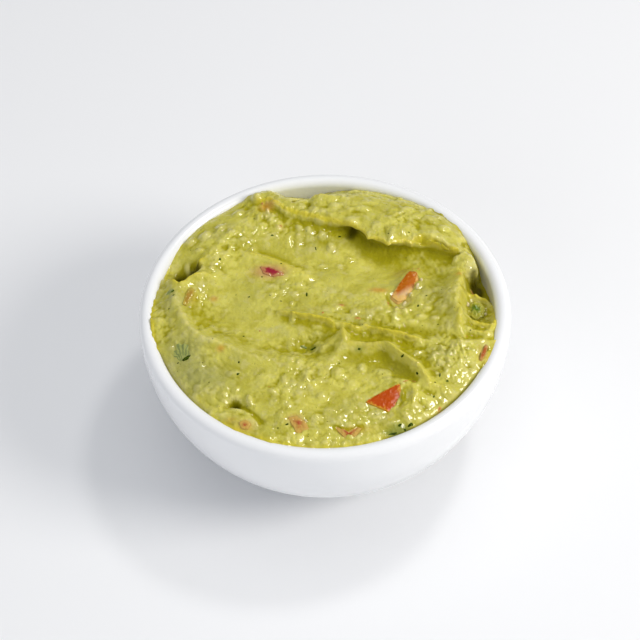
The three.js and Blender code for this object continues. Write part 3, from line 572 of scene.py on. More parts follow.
def mash():
    """Mashed avocado: buttery, wet, slightly translucent, yellow-green; paler on lumps and greener in creases,
    as painted highlight and painted shade.
    """
    material, tree, shader, place = fresh(
        "mashed_avocado", IOR=1.4, Specular_IOR_Level=0.3, Subsurface_Weight=0.3,
        Subsurface_Radius=(1.0, 0.85, 0.3), Subsurface_Scale=0.9 * MM, Coat_Roughness=0.07, Coat_IOR=1.8)
    colour = blend(tree, ease(tree, grain(tree, place, 13, 2.0), 0.36, 0.64), "#c1bb50", "#d5ce60")
    greyer = add(tree, "ShaderNodeTexNoise", {"Vector": place}, Scale=1 / (9 * MM), Detail=3.0,
                 Distortion=0.6)
    colour = blend(tree, ease(tree, greyer.outputs["Fac"], 0.5, 0.68, 0.45), colour, "#b5b168")
    colour = blend(tree, ease(tree, grain(tree, place, 5.0, 2.0), 0.5, 0.66, 0.55), colour, "#b3ab38")
    colour = blend(tree, ease(tree, grain(tree, place, 3.4, 2.0), 0.52, 0.68, 0.4), colour, "#d6ce8c")
    colour = blend(tree, ease(tree, grain(tree, place, 2.4, 3.0, 0.6), 0.5, 0.68, 0.5), colour, "#c8c044")
    # Colour marks: a painted highlight on lump tops, painted shade in creases and the darkest holes, a painted
    # glow where light shines through thin mash, painted shade over the greyer mash on the front left slopes,
    # and the mash's own leaf, juice stain and blush.
    for name, low, high, share, tint in (
            ("lump", 0.1, 0.9, 0.5, "#e2da8c"), ("crease_shade", 0.0, 0.9, 0.95, "#a39b00"),
            ("thin_glow", 0.0, 1.0, 0.75, "#d0c22c"), ("deep", 0.1, 1.0, 0.9, "#4c4600"),
            ("dull", 0.0, 1.0, 0.6, "#9a9b64"), ("leafy", 0.0, 1.0, 0.8, "#66761c"),
            ("stain", 0.0, 1.0, 0.8, "#d09438"), ("blush", 0.0, 1.0, 0.7, "#c88068")):
        colour = blend(tree, ease(tree, mark(tree, name), low, high, share), colour, tint)
    tree.links.new(colour, shader.inputs["Base Color"])
    torn = mark(tree, "torn")
    # Beads of wet mash stand up where it is torn, and each catches the light.
    beads = add(tree, "ShaderNodeTexVoronoi", {"Vector": place}, feature="SMOOTH_F1", Scale=1 / (1.2 * MM))
    beads.inputs["Smoothness"].default_value = 0.35
    raised = add(tree, "ShaderNodeMath", {0: torn, 1: beads.outputs["Distance"]}, operation="MULTIPLY")
    fine = grain(tree, place, 1.1, 2.0, 0.5)
    height = add(tree, "ShaderNodeMath", {0: fine, 1: raised.outputs[0]}, operation="SUBTRACT")
    dents(tree, shader, height.outputs[0], 1.0, 0.34)
    rough = add(tree, "ShaderNodeMapRange", {"Value": torn})
    rough.inputs["To Min"].default_value = 0.42
    rough.inputs["To Max"].default_value = 0.2
    tree.links.new(rough.outputs["Result"], shader.inputs["Roughness"])
    wet = add(tree, "ShaderNodeMapRange", {"Value": torn})
    wet.inputs["To Min"].default_value = 0.4
    dry = add(tree, "ShaderNodeMath", {0: wet.outputs["Result"], 1: mark(tree, "deep")}, operation="SUBTRACT",
              use_clamp=True)
    tree.links.new(dry.outputs[0], shader.inputs["Coat Weight"])
    return material


def flesh(name, heart, edge, far, edge_from=0.6, edge_to=1.0, far_from=0.3, wet=0.35):
    """Cut, wet vegetable flesh: deepest in the heart, clearer at the cut edge, another colour on one side."""
    material, tree, shader, place = fresh(
        name, Roughness=0.45, IOR=1.4, Specular_IOR_Level=0.2, Subsurface_Weight=0.15,
        Subsurface_Radius=(1.0, 0.6, 0.2), Subsurface_Scale=0.6 * MM, Coat_Weight=wet, Coat_Roughness=0.05)
    fibres = grain(tree, place, 0.9, 3.0, 0.6)
    colour = blend(tree, ease(tree, mark(tree, "side"), far_from, far_from + 0.35), heart, far)
    ragged = add(tree, "ShaderNodeMath", {0: mark(tree, "rim"), 1: fibres}, operation="ADD")
    colour = blend(tree, ease(tree, ragged.outputs[0], edge_from + 0.5, edge_to + 0.5), colour, edge)
    colour = blend(tree, ease(tree, fibres, 0.58, 0.8, 0.35), colour, edge)
    tree.links.new(colour, shader.inputs["Base Color"])
    dents(tree, shader, fibres, 0.5, 0.16)
    return material


def soaked_leaf():
    """Coriander leaf under a film of mash: grey-green and translucent, darker along its ribs."""
    material, tree, shader, place = fresh(
        "soaked_coriander", Roughness=0.4, Specular_IOR_Level=0.15, Coat_Weight=0.15, Coat_Roughness=0.12)
    colour = blend(tree, ease(tree, grain(tree, place, 1.6, 2.0), 0.42, 0.62), "#a5aa5c", "#8f9850")
    colour = blend(tree, ease(tree, mark(tree, "rib"), 0.1, 0.9, 0.8), colour, "#74804c")
    tree.links.new(colour, shader.inputs["Base Color"])
    dents(tree, shader, grain(tree, place, 0.5, 2.0), 0.5, 0.1)
    return material


def herb():
    """Chopped coriander: dark, damp leaf with lighter veins."""
    material, tree, shader, place = fresh("coriander_leaf", Roughness=0.5, Specular_IOR_Level=0.06)
    colour = blend(tree, ease(tree, grain(tree, place, 0.8, 2.0), 0.4, 0.65), "#2a3800", "#4a5c10")
    tree.links.new(colour, shader.inputs["Base Color"])
    dents(tree, shader, grain(tree, place, 0.4, 2.0), 0.4, 0.1)
    return material


# ---- Bowl ----


def bezier(a, b, c, d, steps):
    t = np.linspace(0, 1, steps + 1)[:, None]
    a, b, c, d = (np.array(p, float) for p in (a, b, c, d))
    return (1 - t) ** 3 * a + 3 * (1 - t) ** 2 * t * b + 3 * (1 - t) * t ** 2 * c + t ** 3 * d


def inner_wall(steps):
    """(radius, height) up the inside, from the flat floor's edge to the lip."""
    return bezier((FLOOR_RADIUS, FLOOR_HEIGHT), (FLOOR_RADIUS + INNER_BELLY_HANDLE, FLOOR_HEIGHT),
                  (INNER_RADIUS, WALL_TOP - INNER_SHOULDER_HANDLE), (INNER_RADIUS, WALL_TOP), steps)


def bowl_profile():
    half = LIP / 2
    inside = FOOT_RADIUS - FOOT_WIDTH
    foot = [(inside - 0.9, FOOT_HEIGHT)]
    for i in range(7):  # the foot's two rounded edges
        a = math.pi / 2 * i / 6
        foot.append((inside + FOOT_EDGE * (1 - math.cos(a)), FOOT_EDGE * (1 - math.sin(a))))
    for i in range(7):
        a = math.pi / 2 * i / 6
        foot.append((FOOT_RADIUS - FOOT_EDGE + FOOT_EDGE * (math.sin(a) - 1), FOOT_EDGE * (1 - math.cos(a))))
    outer = bezier((FOOT_RADIUS, FOOT_HEIGHT), (FOOT_RADIUS + BELLY_HANDLE, FOOT_HEIGHT),
                   (RIM_RADIUS, WALL_TOP - SHOULDER_HANDLE), (RIM_RADIUS, WALL_TOP), 48)
    lip = [(RIM_RADIUS - half + half * math.cos(a), WALL_TOP + half * math.sin(a))
           for a in np.linspace(0, math.pi, 25)[1:-1]]
    return foot + outer.tolist() + lip + inner_wall(40)[::-1].tolist()


def turned(name, profile, segments, material):
    """Turns a profile of (radius, height) about +Z, closed at both ends by a point on the axis."""
    angles = np.linspace(0, 2 * math.pi, segments, endpoint=False)
    rings = [(r * np.cos(angles), r * np.sin(angles), np.full(segments, z)) for r, z in profile]
    vertices = np.concatenate([np.stack(ring, 1) for ring in rings])
    ends = [(0, 0, profile[0][1]), (0, 0, profile[-1][1])]
    faces = ring_faces(len(profile), segments)
    first, last = len(vertices), len(vertices) + 1
    top = (len(profile) - 1) * segments
    for i in range(segments):
        j = (i + 1) % segments
        faces.append((first, j, i))
        faces.append((last, top + i, top + j))
    return make_mesh(name, np.concatenate([vertices, ends]), faces, material)


def settle(piece, node=None):
    """Puts a piece in its body, and hides the part from model.glb that it stands for."""
    if node:
        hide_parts(node)
    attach(piece, "root")


# ---- The relief as a grid of heights ----

SPACING = 0.2
REACH = 58.0
AXIS = np.arange(-REACH, REACH + SPACING / 2, SPACING)
X, Y = np.meshgrid(AXIS, AXIS)


def smoothstep(t):
    t = np.clip(t, 0, 1)
    return t * t * (3 - 2 * t)


def sample(field, x, y):
    """A grid field at scattered places, by straight interpolation."""
    u = np.clip((np.asarray(x) + REACH) / SPACING, 0, len(AXIS) - 1.001)
    v = np.clip((np.asarray(y) + REACH) / SPACING, 0, len(AXIS) - 1.001)
    i, j = u.astype(int), v.astype(int)
    fu, fv = u - i, v - j
    return ((1 - fv) * ((1 - fu) * field[j, i] + fu * field[j, i + 1])
            + fv * ((1 - fu) * field[j + 1, i] + fu * field[j + 1, i + 1]))


def noise(x, y, scale, seed):
    """Gradient noise with features about one scale wide, between about -0.7 and 0.7."""
    cells = int(2 * (REACH + 12) / scale) + 3
    angle = np.random.default_rng(seed).uniform(0, 2 * math.pi, (cells, cells))
    gx, gy = np.cos(angle), np.sin(angle)
    u, v = (x + REACH + 6) / scale, (y + REACH + 6) / scale
    i, j = np.floor(u).astype(int), np.floor(v).astype(int)
    fu, fv = u - i, v - j
    su, sv = (f * f * f * (f * (f * 6 - 15) + 10) for f in (fu, fv))

    def corner(di, dj):
        at = (j + dj) % cells, (i + di) % cells
        return gx[at] * (fu - di) + gy[at] * (fv - dj)

    near = (1 - su) * corner(0, 0) + su * corner(1, 0)
    far = (1 - su) * corner(0, 1) + su * corner(1, 1)
    return (1 - sv) * near + sv * far


def blurred(field, width):
    """The field smoothed by a bell curve of this half-width."""
    wave = np.fft.fftfreq(len(AXIS), SPACING)
    bell = np.exp(-2 * (math.pi * width) ** 2 * (wave[:, None] ** 2 + wave[None, :] ** 2))
    return np.fft.ifft2(np.fft.fft2(field) * bell).real


SPLINE_STEPS = 6  # from one point of a crest to the next


def spline(points, per_span):
    """Points on a Catmull-Rom curve through the given ones."""
    p = np.array([points[0], *points, points[-1]], float)
    out = []
    for k in range(len(points) - 1):
        a, b, c, d = p[k:k + 4]
        for t in np.arange(per_span) / per_span:
            v0, v1 = (c - a) / 2, (d - b) / 2
            cube, square = 2 * b - 2 * c + v0 + v1, 3 * c - 3 * b - 2 * v0 - v1
            out.append(cube * t ** 3 + square * t ** 2 + v0 * t + b)
    return np.array(out + [p[-2]])


def near_crest(points, x, y, margin):
    """Distance to a crest, how many points along it, and the side, over the part of the grid in its reach."""
    line = spline(points, SPLINE_STEPS)
    distance = np.full(x.shape, np.inf)
    along = np.zeros(x.shape)
    side = np.ones(x.shape)
    for k in range(len(line) - 1):
        a, run = line[k], line[k + 1] - line[k]
        close = (np.abs(x - a[0]) < margin + abs(run[0])) & (np.abs(y - a[1]) < margin + abs(run[1]))
        rows, cols = np.nonzero(close)
        if not len(rows):
            continue
        window = (slice(rows.min(), rows.max() + 1), slice(cols.min(), cols.max() + 1))
        ox, oy = x[window] - a[0], y[window] - a[1]
        t = np.clip((ox * run[0] + oy * run[1]) / (run @ run), 0, 1)
        d = np.hypot(ox - t * run[0], oy - t * run[1])
        nearer = d < distance[window]
        distance[window] = np.where(nearer, d, distance[window])
        along[window] = np.where(nearer, (k + t) / SPLINE_STEPS, along[window])
        side[window] = np.where(nearer, np.where(run[0] * oy > run[1] * ox, 1, -1), side[window])
    return distance, along, side


def mound(x, y, at, half, turn, height):
    a = math.radians(turn)
    dx, dy = x - at[0], y - at[1]
    u = (dx * math.cos(a) + dy * math.sin(a)) / half[0]
    v = (-dx * math.sin(a) + dy * math.cos(a)) / half[1]
    return height * np.exp(-(u * u + v * v))


def stamp(field, x, y, half, turn, height, softness=1.2):
    """Raises one rounded lump into a field, keeping whatever is higher."""
    r = max(half)
    i0, i1 = np.searchsorted(AXIS, (x - r, x + r))
    j0, j1 = np.searchsorted(AXIS, (y - r, y + r))
    dx, dy = X[j0:j1, i0:i1] - x, Y[j0:j1, i0:i1] - y
    c, s = math.cos(turn), math.sin(turn)
    rho2 = ((dx * c + dy * s) / half[0]) ** 2 + ((-dx * s + dy * c) / half[1]) ** 2
    bump = height * np.clip(1 - rho2, 0, None) ** softness
    field[j0:j1, i0:i1] = np.maximum(field[j0:j1, i0:i1], bump)


def crest_fall(distance, width, sharp):
    """A crest's profile. A sharp one has a narrow back on its broad foot."""
    foot = np.exp(-np.minimum(distance / width, 9) ** 1.5)
    if not sharp:
        return foot
    back = np.exp(-np.minimum(distance / np.minimum(width, 1.1), 5) ** 2)
    return 0.6 * foot + 0.4 * back


def fold_frame(z, x, y):
    """The big fold's root line, its height, how far it is there, and its back, which rises from the ground."""
    tip_x, _, level = np.transpose(LIP_LINE)
    root = np.interp(x, *np.transpose(LIP_ROOT))
    level = np.interp(x, tip_x, level)
    span = smoothstep((x - FOLD_ENDS[0]) / 5) * smoothstep((FOLD_ENDS[1] - x) / 5)
    behind = z + (level - z) * np.exp(-(np.minimum(root - y, 0) / FOLD_BACK) ** 2)
    return root, level, span, behind


def blunt_fold(z, x, y):
    """The fold with a thick edge and no lean, which the crests are worked out on."""
    root, level, span, behind = fold_frame(z, x, y)
    ahead = root - y
    under = level - BLUNT_SHEET
    steep = level - BLUNT_SHEET * smoothstep(ahead / BLUNT_ROUND)
    steep = steep - (under - z) * smoothstep((ahead - BLUNT_ROUND) / BLUNT_FACE)
    slope = level - (level - z) * smoothstep(ahead / BLUNT_SLOPE)
    front = np.where(under > z, steep, slope)
    return z + (np.where(ahead < 0, behind, front) - z) * span


def big_fold(z, x, y):
    """The fold: a sheet of mash smeared forward over the trough.

    Returns the heights, how far each place leans out, and where the sheet thins, for a painted glow as of
    light shining through it.
    """
    root, level, span, behind = fold_frame(z, x, y)
    tip_x, tip_y, _ = np.transpose(LIP_LINE)
    tip = np.interp(x, tip_x, tip_y) + np.interp(x, [4, 10], [0.05, 0.35]) * noise(x, 0 * x, 1.3, 31)
    ahead = root - y  # how far in front of the root line
    drop = np.maximum(level - SHEET - z, 0)
    below_edge = smoothstep((ahead - SHEET_ROUND) / FOLD_FACE)  # from the sheet's edge to the trough
    front = level - np.minimum(SHEET, np.maximum(level - z, 0)) * smoothstep(ahead / SHEET_ROUND)
    front = front - drop * below_edge
    reach = np.maximum(root - tip - SHEET_ROUND, 0) * span * np.interp(x, *np.transpose(FOLD_LEAN))
    lean = np.where(ahead < 0, smoothstep((ahead + FOLD_START) / FOLD_START), 1 - below_edge) * reach
    cave = np.interp(x, *np.transpose(FOLD_CAVE))
    lean -= cave * np.exp(-((ahead - 2.6) / 1.1) ** 2) * span * np.clip(drop / 3, 0, 1)
    thin_glow = span * np.exp(-((ahead - 0.3) / 1.0) ** 2)
    return z + (np.where(ahead < 0, behind, front) - z) * span, lean, thin_glow


def wall_slope(x, y, wall):
    """The plain ground, which eases into the level at the wall, and that level."""
    angle = np.degrees(np.arctan2(y, x)) % 360
    level = np.interp(angle, *np.transpose(wall + [(360, wall[0][1])]))
    inward = smoothstep((INNER_RADIUS - np.hypot(x, y)) / EDGE_BAND)
    return level * (1 - inward) + PLAIN * inward, level


def blunt_ground(x, y):
    """The ground that the crests stand on, with its mounds and the blunt fold."""
    z = wall_slope(x, y, CREST_EDGE)[0]
    for at, half, turn, height in MOUNDS:
        z = z + mound(x, y, at, half, turn, height)
    return blunt_fold(z, x, y)


def crest_share(points, left, right, x, y):
    """What share of a crest's height each place has, and how many points along the crest it lies."""
    distance, along, side = near_crest(points, x, y, math.inf)
    return crest_fall(distance, np.where(side > 0, left, right), min(left, right) < SHARP), along


def raised_crests(lines):
    """The crests with the heights that bring each of their points to its level, though crests add up.

    Points that pull against each other come as near as they can without great heights.
    """
    x, y, level = np.split(np.array([point for line in lines for point in line[0]]), 3, axis=1)
    shares = []
    for points, left, right in lines:
        share, along = crest_share([point[:2] for point in points], left, right, x, y)
        shares += [share * np.interp(along, range(len(points)), only) for only in np.eye(len(points))]
    shares = np.hstack(shares)
    missing = level - blunt_ground(x, y)
    calm = HEIGHT_CALM ** 2
    heights = np.linalg.solve(shares.T @ shares + calm * np.eye(len(x)),
                              shares.T @ missing + calm * FIRST_SHARE * missing)
    rest = iter(heights[:, 0])
    return [([point[:2] for point in points], [round(float(next(rest)), 1) for _ in points], left, right)
            for points, left, right in lines]


def on_mash(across, down):
    """The places (x, y), to a tenth of a millimetre, where lines of sight meet the mash."""
    level = np.full(len(across), BOWL_HEIGHT)
    for _ in range(SIGHT_STEPS):
        places = sight(across, down, level)
        x, y = places[:, :1], places[:, 1:2]
        z = blunt_ground(x, y)
        for points, heights, left, right in CRESTS:
            share, along = crest_share(points, left, right, x, y)
            z = z + share * np.interp(along, range(len(heights)), heights)
        level = 0.5 * level + 0.5 * z[:, 0]
    return [(round(float(x), 1), round(float(y), 1)) for x, y, _ in places]


def lumps(count, size, height, seed):
    """A layer of lumps all over the bowl: sizes and heights are (least, most)."""
    rng = random.Random(seed)
    field = np.zeros_like(X)
    for _ in range(count):
        r, a = INNER_RADIUS * math.sqrt(rng.random()), rng.uniform(0, 2 * math.pi)
        half = rng.uniform(*size)
        stamp(field, r * math.cos(a), r * math.sin(a), (half, half * rng.uniform(0.55, 1)),
              rng.uniform(0, math.pi), rng.uniform(*height))
    return field


def outline_distance(piece, x, y):
    """How far each place lies outside a piece's outline, negative inside, and its place on the piece."""
    a = math.radians(piece["turn"])
    dx, dy = x - piece["at"][0], y - piece["at"][1]
    u, v = dx * math.cos(a) + dy * math.sin(a), -dx * math.sin(a) + dy * math.cos(a)
    corners = piece["outline"]
    nearest = np.full(x.shape, np.inf)
    inside = np.zeros(x.shape, bool)
    for (px, py), (qx, qy) in zip(corners, corners[1:] + corners[:1]):
        ex, ey = qx - px, qy - py
        t = np.clip(((u - px) * ex + (v - py) * ey) / (ex * ex + ey * ey), 0, 1)
        nearest = np.minimum(nearest, np.hypot(u - px - t * ex, v - py - t * ey))
        if ey:
            inside ^= ((py > v) != (qy > v)) & (u < ex * (v - py) / ey + px)
    return np.where(inside, -nearest, nearest), u, v


def top_plane(piece, u, v):
    """How high a piece's cut top stands over its middle, before its facet and its rounding."""
    return -u * math.tan(math.radians(piece["tip"][1])) + v * math.tan(math.radians(piece["tip"][0]))


def relief():
    """Fields over the grid: height, how far it leans forward, and the marks that the colour follows."""
    radius = np.hypot(X, Y)
    angle = np.degrees(np.arctan2(Y, X)) % 360
    z, edge = wall_slope(X, Y, EDGE)
    # The crests wander a little, as mash does when it is dragged.
    wx = X + 0.4 * noise(X, Y, 5.0, 1) + 0.25 * noise(X, Y, 1.8, 2)
    wy = Y + 0.4 * noise(X, Y, 5.0, 3) + 0.25 * noise(X, Y, 1.8, 4)
    for at, half, turn, height in MOUNDS:
        z = z + mound(wx, wy, at, half, turn, height)
    z, lean, thin_glow = big_fold(z, X + 0.3 * noise(X, Y, 1.8, 2), wy)
    spine = np.zeros_like(X)
    for points, heights, left, right in CRESTS:
        distance, along, side = near_crest(points, wx, wy, 3.5 * max(left, right))
        height = np.interp(along, range(len(heights)), heights)
        sharp = min(left, right) < SHARP
        # Narrow crests get more painted glow along their backs and less painted highlight on their lumps.
        if min(left, right) < 2.5:
            spine = np.maximum(spine, np.exp(-(distance / 1.9) ** 2) * np.clip(height / 2, 0, 1))
        if sharp:
            thin_glow = np.maximum(thin_glow, np.exp(-(distance / 0.9) ** 2) * np.clip(height / 2, 0, 1))
        z = z + CREST_GAIN * height * crest_fall(distance, np.where(side > 0, left, right), sharp)
    lip_top = WALL_TOP + np.sqrt(np.clip((LIP / 2) ** 2 - (RIM_RADIUS - LIP / 2 - radius) ** 2, 0, None))
    film_top = np.where(radius > INNER_RADIUS, lip_top - 1.0, BOWL_HEIGHT)
    for at, half, turn, foot, rise in BLOBS:
        share = 1 + np.log(np.maximum(mound(wx, wy, at, half, turn, 1), 1e-9))
        lump = np.maximum(z, foot + rise * np.sqrt(np.maximum(share, 0)))
        z = np.where(share > 0, z + (lump - z) * smoothstep((INNER_RADIUS - radius) / 3), z)
    z = np.maximum(z, np.minimum(edge - CLING * np.maximum(INNER_RADIUS - radius, 0), film_top))
    smooth = np.clip(0.5 + 1.1 * noise(X, Y, 16.0, 5), 0.1, 1.1)
    for at, half, turn, keep in SMOOTH:
        smooth = smooth * (1 - mound(X, Y, at, half, turn, keep))
    torn = np.clip(1.6 * noise(X, Y, 9.0, 7) - 0.15, 0, 0.5)
    for at, half, turn, much in TORN:
        torn = np.maximum(torn, mound(X, Y, at, half, turn, much) * (0.75 + 0.7 * noise(X, Y, 3.0, 8)))
    torn = np.clip(torn, 0, 1) * np.clip(smooth * 1.6, 0, 1)
    smooth = np.maximum(smooth, torn)
    big = blurred(lumps(*BIG_LUMPS), 0.4)
    middle = blurred(lumps(*MIDDLE_LUMPS), 0.28)
    small = lumps(*SMALL_LUMPS)
    # Fine ridges that a spoon has combed up on the slab in the right corner.
    brushed = mound(X, Y, (40, -24), (8, 9), 20, 1.3) * noise(X + 0.25 * Y, 0.24 * Y - 0.06 * X, 0.8, 26)
    creased = np.abs(noise(wx, wy, 3.4, 21)) + 0.5 * np.abs(noise(wx, wy, 1.6, 22))
    streak = noise(angle * 0.9 - REACH / 2, radius * 4, 4.0, 23)
    rough = (0.5 * big * np.clip(2 * smooth, 0.3, 1) + smooth * (0.65 * middle + 1.15 * creased)
             + (0.08 + 0.75 * torn) * small + 0.75 * brushed + 0.25 * smoothstep((radius - 30) / 12) * streak
             + 0.3 * torn * noise(X, Y, 0.9, 9))
    knobs = np.zeros_like(X)
    for (x, y), half, turn, height, wet in KNOBS:
        stamp(knobs, x, y, half, math.radians(turn), 1.2 * height, 0.9)
        gloss = mound(X, Y, (x, y), (half[0] + 0.6, half[1] + 0.6), turn, 1.3)
        torn = np.maximum(torn, wet * np.clip(gloss, 0, 1))
    film = np.exp(-np.clip(INNER_RADIUS + 0.3 - radius, 0, None) / 0.75)
    roll = np.interp(angle, *np.transpose(EDGE_ROLL)) + 0.5 * noise(X, Y, 3.0, 24)
    knobs = blurred(knobs, 0.25)
    z = z + rough * (1 - 0.5 * np.clip(knobs * 2, 0, 1)) + knobs - roll * film
    # Painted glow, as of light shining through thin mash: along the film on the wall, the fold's edge and the
    # backs of sharp crests.
    thin_glow = np.maximum(thin_glow, film * np.clip(1 - roll, 0, 1))
    # Painted shade: the mash darker and greener in creases and hollows, where it shades itself.
    crease_shade = np.clip((blurred(z, 1.3) - z) * 2.0, 0, 1) + np.clip((blurred(z, 3.2) - z) * 0.6, 0, 0.9)
    # Painted highlight: the tops of lumps paler, as where light catches them; less so along narrow crests.
    lump = np.clip((z - blurred(z, 1.0)) * 2.2, 0, 1) * (1 - 0.7 * spine)
    thin_glow = np.maximum(thin_glow, 0.5 * spine)
    settled = blurred(z, 1.5)
    # Painted shade in the gap where the mash rolls away from the wall.
    crease_shade = np.maximum(crease_shade, 1.3 * film * np.clip(roll - 0.6, 0, 1))
    for piece in DICE.values():
        away, u, v = outline_distance(piece, wx, wy)
        away = away + 1.1 * noise(X, Y, 2.4, 25) + piece["cover"]  # the mash creeps over the piece's edges
        lid = np.zeros_like(X)
        for lu, lv, hu, hv in piece["lids"]:
            over = 1.6 * np.exp(-((u - lu) / hu) ** 2 - ((v - lv) / hv) ** 2)
            lid = np.maximum(lid, smoothstep(over - 0.3))
        close = np.exp(-(np.clip(away, 0, None) / 2.4) ** 2)
        level = piece["level"] = float(sample(settled, *piece["at"]))
        bed = level + top_plane(piece, u, v) + 0.25 + 0.5 * (rough - 0.6)
        socket = 1.6 * smoothstep(-(away + 0.25) / 0.8)  # the room that the piece takes
        z = z * (1 - close) + bed * close - socket * (1 - lid) + lid * (piece["proud"] + 0.3)
    return z, lean, {"lump": lump, "crease_shade": np.clip(crease_shade, 0, 1), "thin_glow": thin_glow, "torn": torn}


CRESTS = raised_crests(CREST_LINES)
knob_places = on_mash(*np.transpose([knob[0] for knob in SEEN_KNOBS]))
KNOBS = [(place, *knob[1:]) for place, knob in zip(knob_places, SEEN_KNOBS)] + LAID_KNOBS
HEIGHT, LEAN, MARKS = relief()

# Juice that has seeped into the mash: centre, half-lengths, how much. The last, round the corner tomato, is
# also painted light on a slope that faces away from the lamps.
STAIN = [((17.6, 6.6), (3.4, 1.4), 0.8), ((-18.5, 43.2), (3.0, 2.0), 0.8), ((-33, -18.5), (1.6, 1.3), 0.7),
         ((-35.8, 5.1), (1.6, 1.2), 0.7), ((36, -43), (2.6, 1.6), 0.5), ((44, 10), (1.6, 1.2), 0.6),
         ((-43, 5), (2.4, 4.0), 0.35), ((-30, -44.5), (2.2, 1.6), 0.4), ((9, -49.5), (5.5, 1.6), 0.4),
         ((26, 15), (4, 3), 0.35), ((-25, -47), (3.4, 2.4), 0.5)]
# Greyer, oxidised mash, which over the front left slopes is also painted shade: centre, half-lengths, how
# much.
GREYED_AND_SHADED = [((-45, -19), (7, 9), 0.9), ((-37, -28), (9, 6), 0.7), ((-49, 3), (3, 8), 0.5),
        ((-2, -17), (4, 2), 0.6), ((20, -27), (7, 4), 0.35), ((30, 6), (10, 7), 0.3), ((-24, 3), (10, 8), 0.3)]
LEAFY = [((22.5, -48.8), (4.2, 1.5), 0.8), ((19.6, -50.6), (3.0, 1.0), 0.8), ((-4.6, -15.6), (2.6, 1.0), 0.5),
         ((10.5, -19.4), (1.6, 0.9), 0.6), ((49, 0.4), (3.4, 3.0), 0.35)]
BLUSH = [((-17.6, 15.4), (5.8, 3.0), 0.9), ((-10.0, -45.4), (2.8, 1.8), 0.6), ((-13.9, 35), (1.6, 1.4), 0.4),
         ((5.5, 0.4), (2.0, 1.2), 0.4), ((25.4, 3.0), (4.4, 3.0), 0.35), ((49.6, -21.6), (2.4, 3.6), 0.4)]
# The darkest holes, where the mash shades itself.
DEEP = [((-47.0, 15.4), (2.6, 2.6), 1.4), ((-42.2, 17.6), (1.8, 2.2), 1.4), ((-28.6, -38.8), (1.9, 1.3), 1.0),
        ((50.0, 11.0), (2.4, 2.6), 1.6), ((10.2, 30.6), (3.2, 1.5), 1.0)]
for name, patches in (("stain", STAIN), ("deep", DEEP), ("blush", BLUSH), ("dull", GREYED_AND_SHADED), ("leafy", LEAFY)):
    MARKS[name] = np.clip(sum(mound(X, Y, at, half, 0, much) for at, half, much in patches), 0, 1)


# ---- The guacamole's mesh ----

MASH_GRID = 297
MASH_OVERLAP = 1.3  # how far the mash goes under the rounded rim
EVEN_ROUNDS = 30


def disc(n, radius):
    """An n by n square grid laid over a disc, its cells all about one size."""
    u, v = np.meshgrid(np.linspace(-1, 1, n), np.linspace(-1, 1, n))
    wide = np.abs(u) > np.abs(v)
    r = np.where(wide, u, v)
    with np.errstate(divide="ignore", invalid="ignore"):
        a = np.where(wide, math.pi / 4 * v / u, math.pi / 2 - math.pi / 4 * u / v)
    a = np.nan_to_num(a)
    return radius * r * np.cos(a), radius * r * np.sin(a)


def surface(x, y):
    """The mash's surface over a place, pushed forward where the fold leans out."""
    inwards = np.clip((INNER_RADIUS - np.hypot(x, y)) / 3, 0, 1)
    return np.stack([x, y - inwards * sample(LEAN, x, y), sample(HEIGHT, x, y)], -1)


def spread_evenly(x, y, rounds):
    """Moves the grid's points towards steep places, so that the mesh is as fine there as elsewhere."""
    for _ in range(rounds):
        p = surface(x, y)
        pull = np.zeros((*x.shape, 3))
        for axis in (0, 1):
            span = np.linalg.norm(np.diff(p, axis=axis), axis=-1)
            ahead = [slice(1, -1), slice(1, -1)]
            for step in (0, 1):
                ahead[axis] = slice(2 * step, x.shape[axis] - 2 + 2 * step)
                here = [slice(1, -1), slice(1, -1)]
                here[axis] = slice(step, x.shape[axis] - 2 + step)
                weight = span[tuple(here)]
                inner = pull[1:-1, 1:-1]
                inner[..., 0] += weight * x[tuple(ahead)]
                inner[..., 1] += weight * y[tuple(ahead)]
                inner[..., 2] += weight
        inner = pull[1:-1, 1:-1]
        x, y = x.copy(), y.copy()
        x[1:-1, 1:-1] += 0.6 * (inner[..., 0] / inner[..., 2] - x[1:-1, 1:-1])
        y[1:-1, 1:-1] += 0.6 * (inner[..., 1] / inner[..., 2] - y[1:-1, 1:-1])
    return x, y


def make_guacamole(material):
    n = MASH_GRID
    x, y = spread_evenly(*disc(n, INNER_RADIUS + MASH_OVERLAP), EVEN_ROUNDS)
    faces, rim = sheet_faces(n)
    faces = faces.tolist()
    vertices = [surface(x, y).reshape(-1, 3)]
    angle = np.arctan2(y.reshape(-1)[rim], x.reshape(-1)[rim])
    above = rim
    count = n * n
    for radius, height in [p for p in inner_wall(10)[::-1] if p[1] < 40]:
        ring = radius * np.cos(angle), radius * np.sin(angle), np.full(len(rim), height)
        vertices.append(np.stack(ring, 1))
        below = np.arange(count, count + len(rim))
        count += len(rim)
        faces += np.stack([above, below, np.roll(below, -1), np.roll(above, -1)], 1).tolist()
        above = below
    vertices.append(np.array([[0, 0, FLOOR_HEIGHT]]))
    faces += [(int(a), count, int(b)) for a, b in zip(above, np.roll(above, -1))]
    marks = {}
    for name, field in MARKS.items():
        marks[name] = np.zeros(count + 1)
        marks[name][:n * n] = sample(field, x, y).reshape(-1)
    made = make_mesh("guacamole_mash", np.concatenate(vertices), faces, material, marks)
    settle(made, "guacamole")


# ---- Diced vegetables ----

DICE_STEPS = 96  # points round each outline


def outline_radius(outline, angles):
    """How far the outline lies from the middle in each direction, its corners eased."""
    out = np.zeros(len(angles))
    for (px, py), (qx, qy) in zip(outline, outline[1:] + outline[:1]):
        ex, ey = qx - px, qy - py
        cross = np.cos(angles) * ey - np.sin(angles) * ex
        with np.errstate(divide="ignore", invalid="ignore"):
            t = (px * ey - py * ex) / cross
            s = (px * np.sin(angles) - py * np.cos(angles)) / cross
        hit = (t > 0) & (s >= -1e-9) & (s <= 1 + 1e-9)
        out = np.where(hit, np.maximum(out, t), out)
    return (np.roll(out, 1) + 2 * out + np.roll(out, -1)) / 4


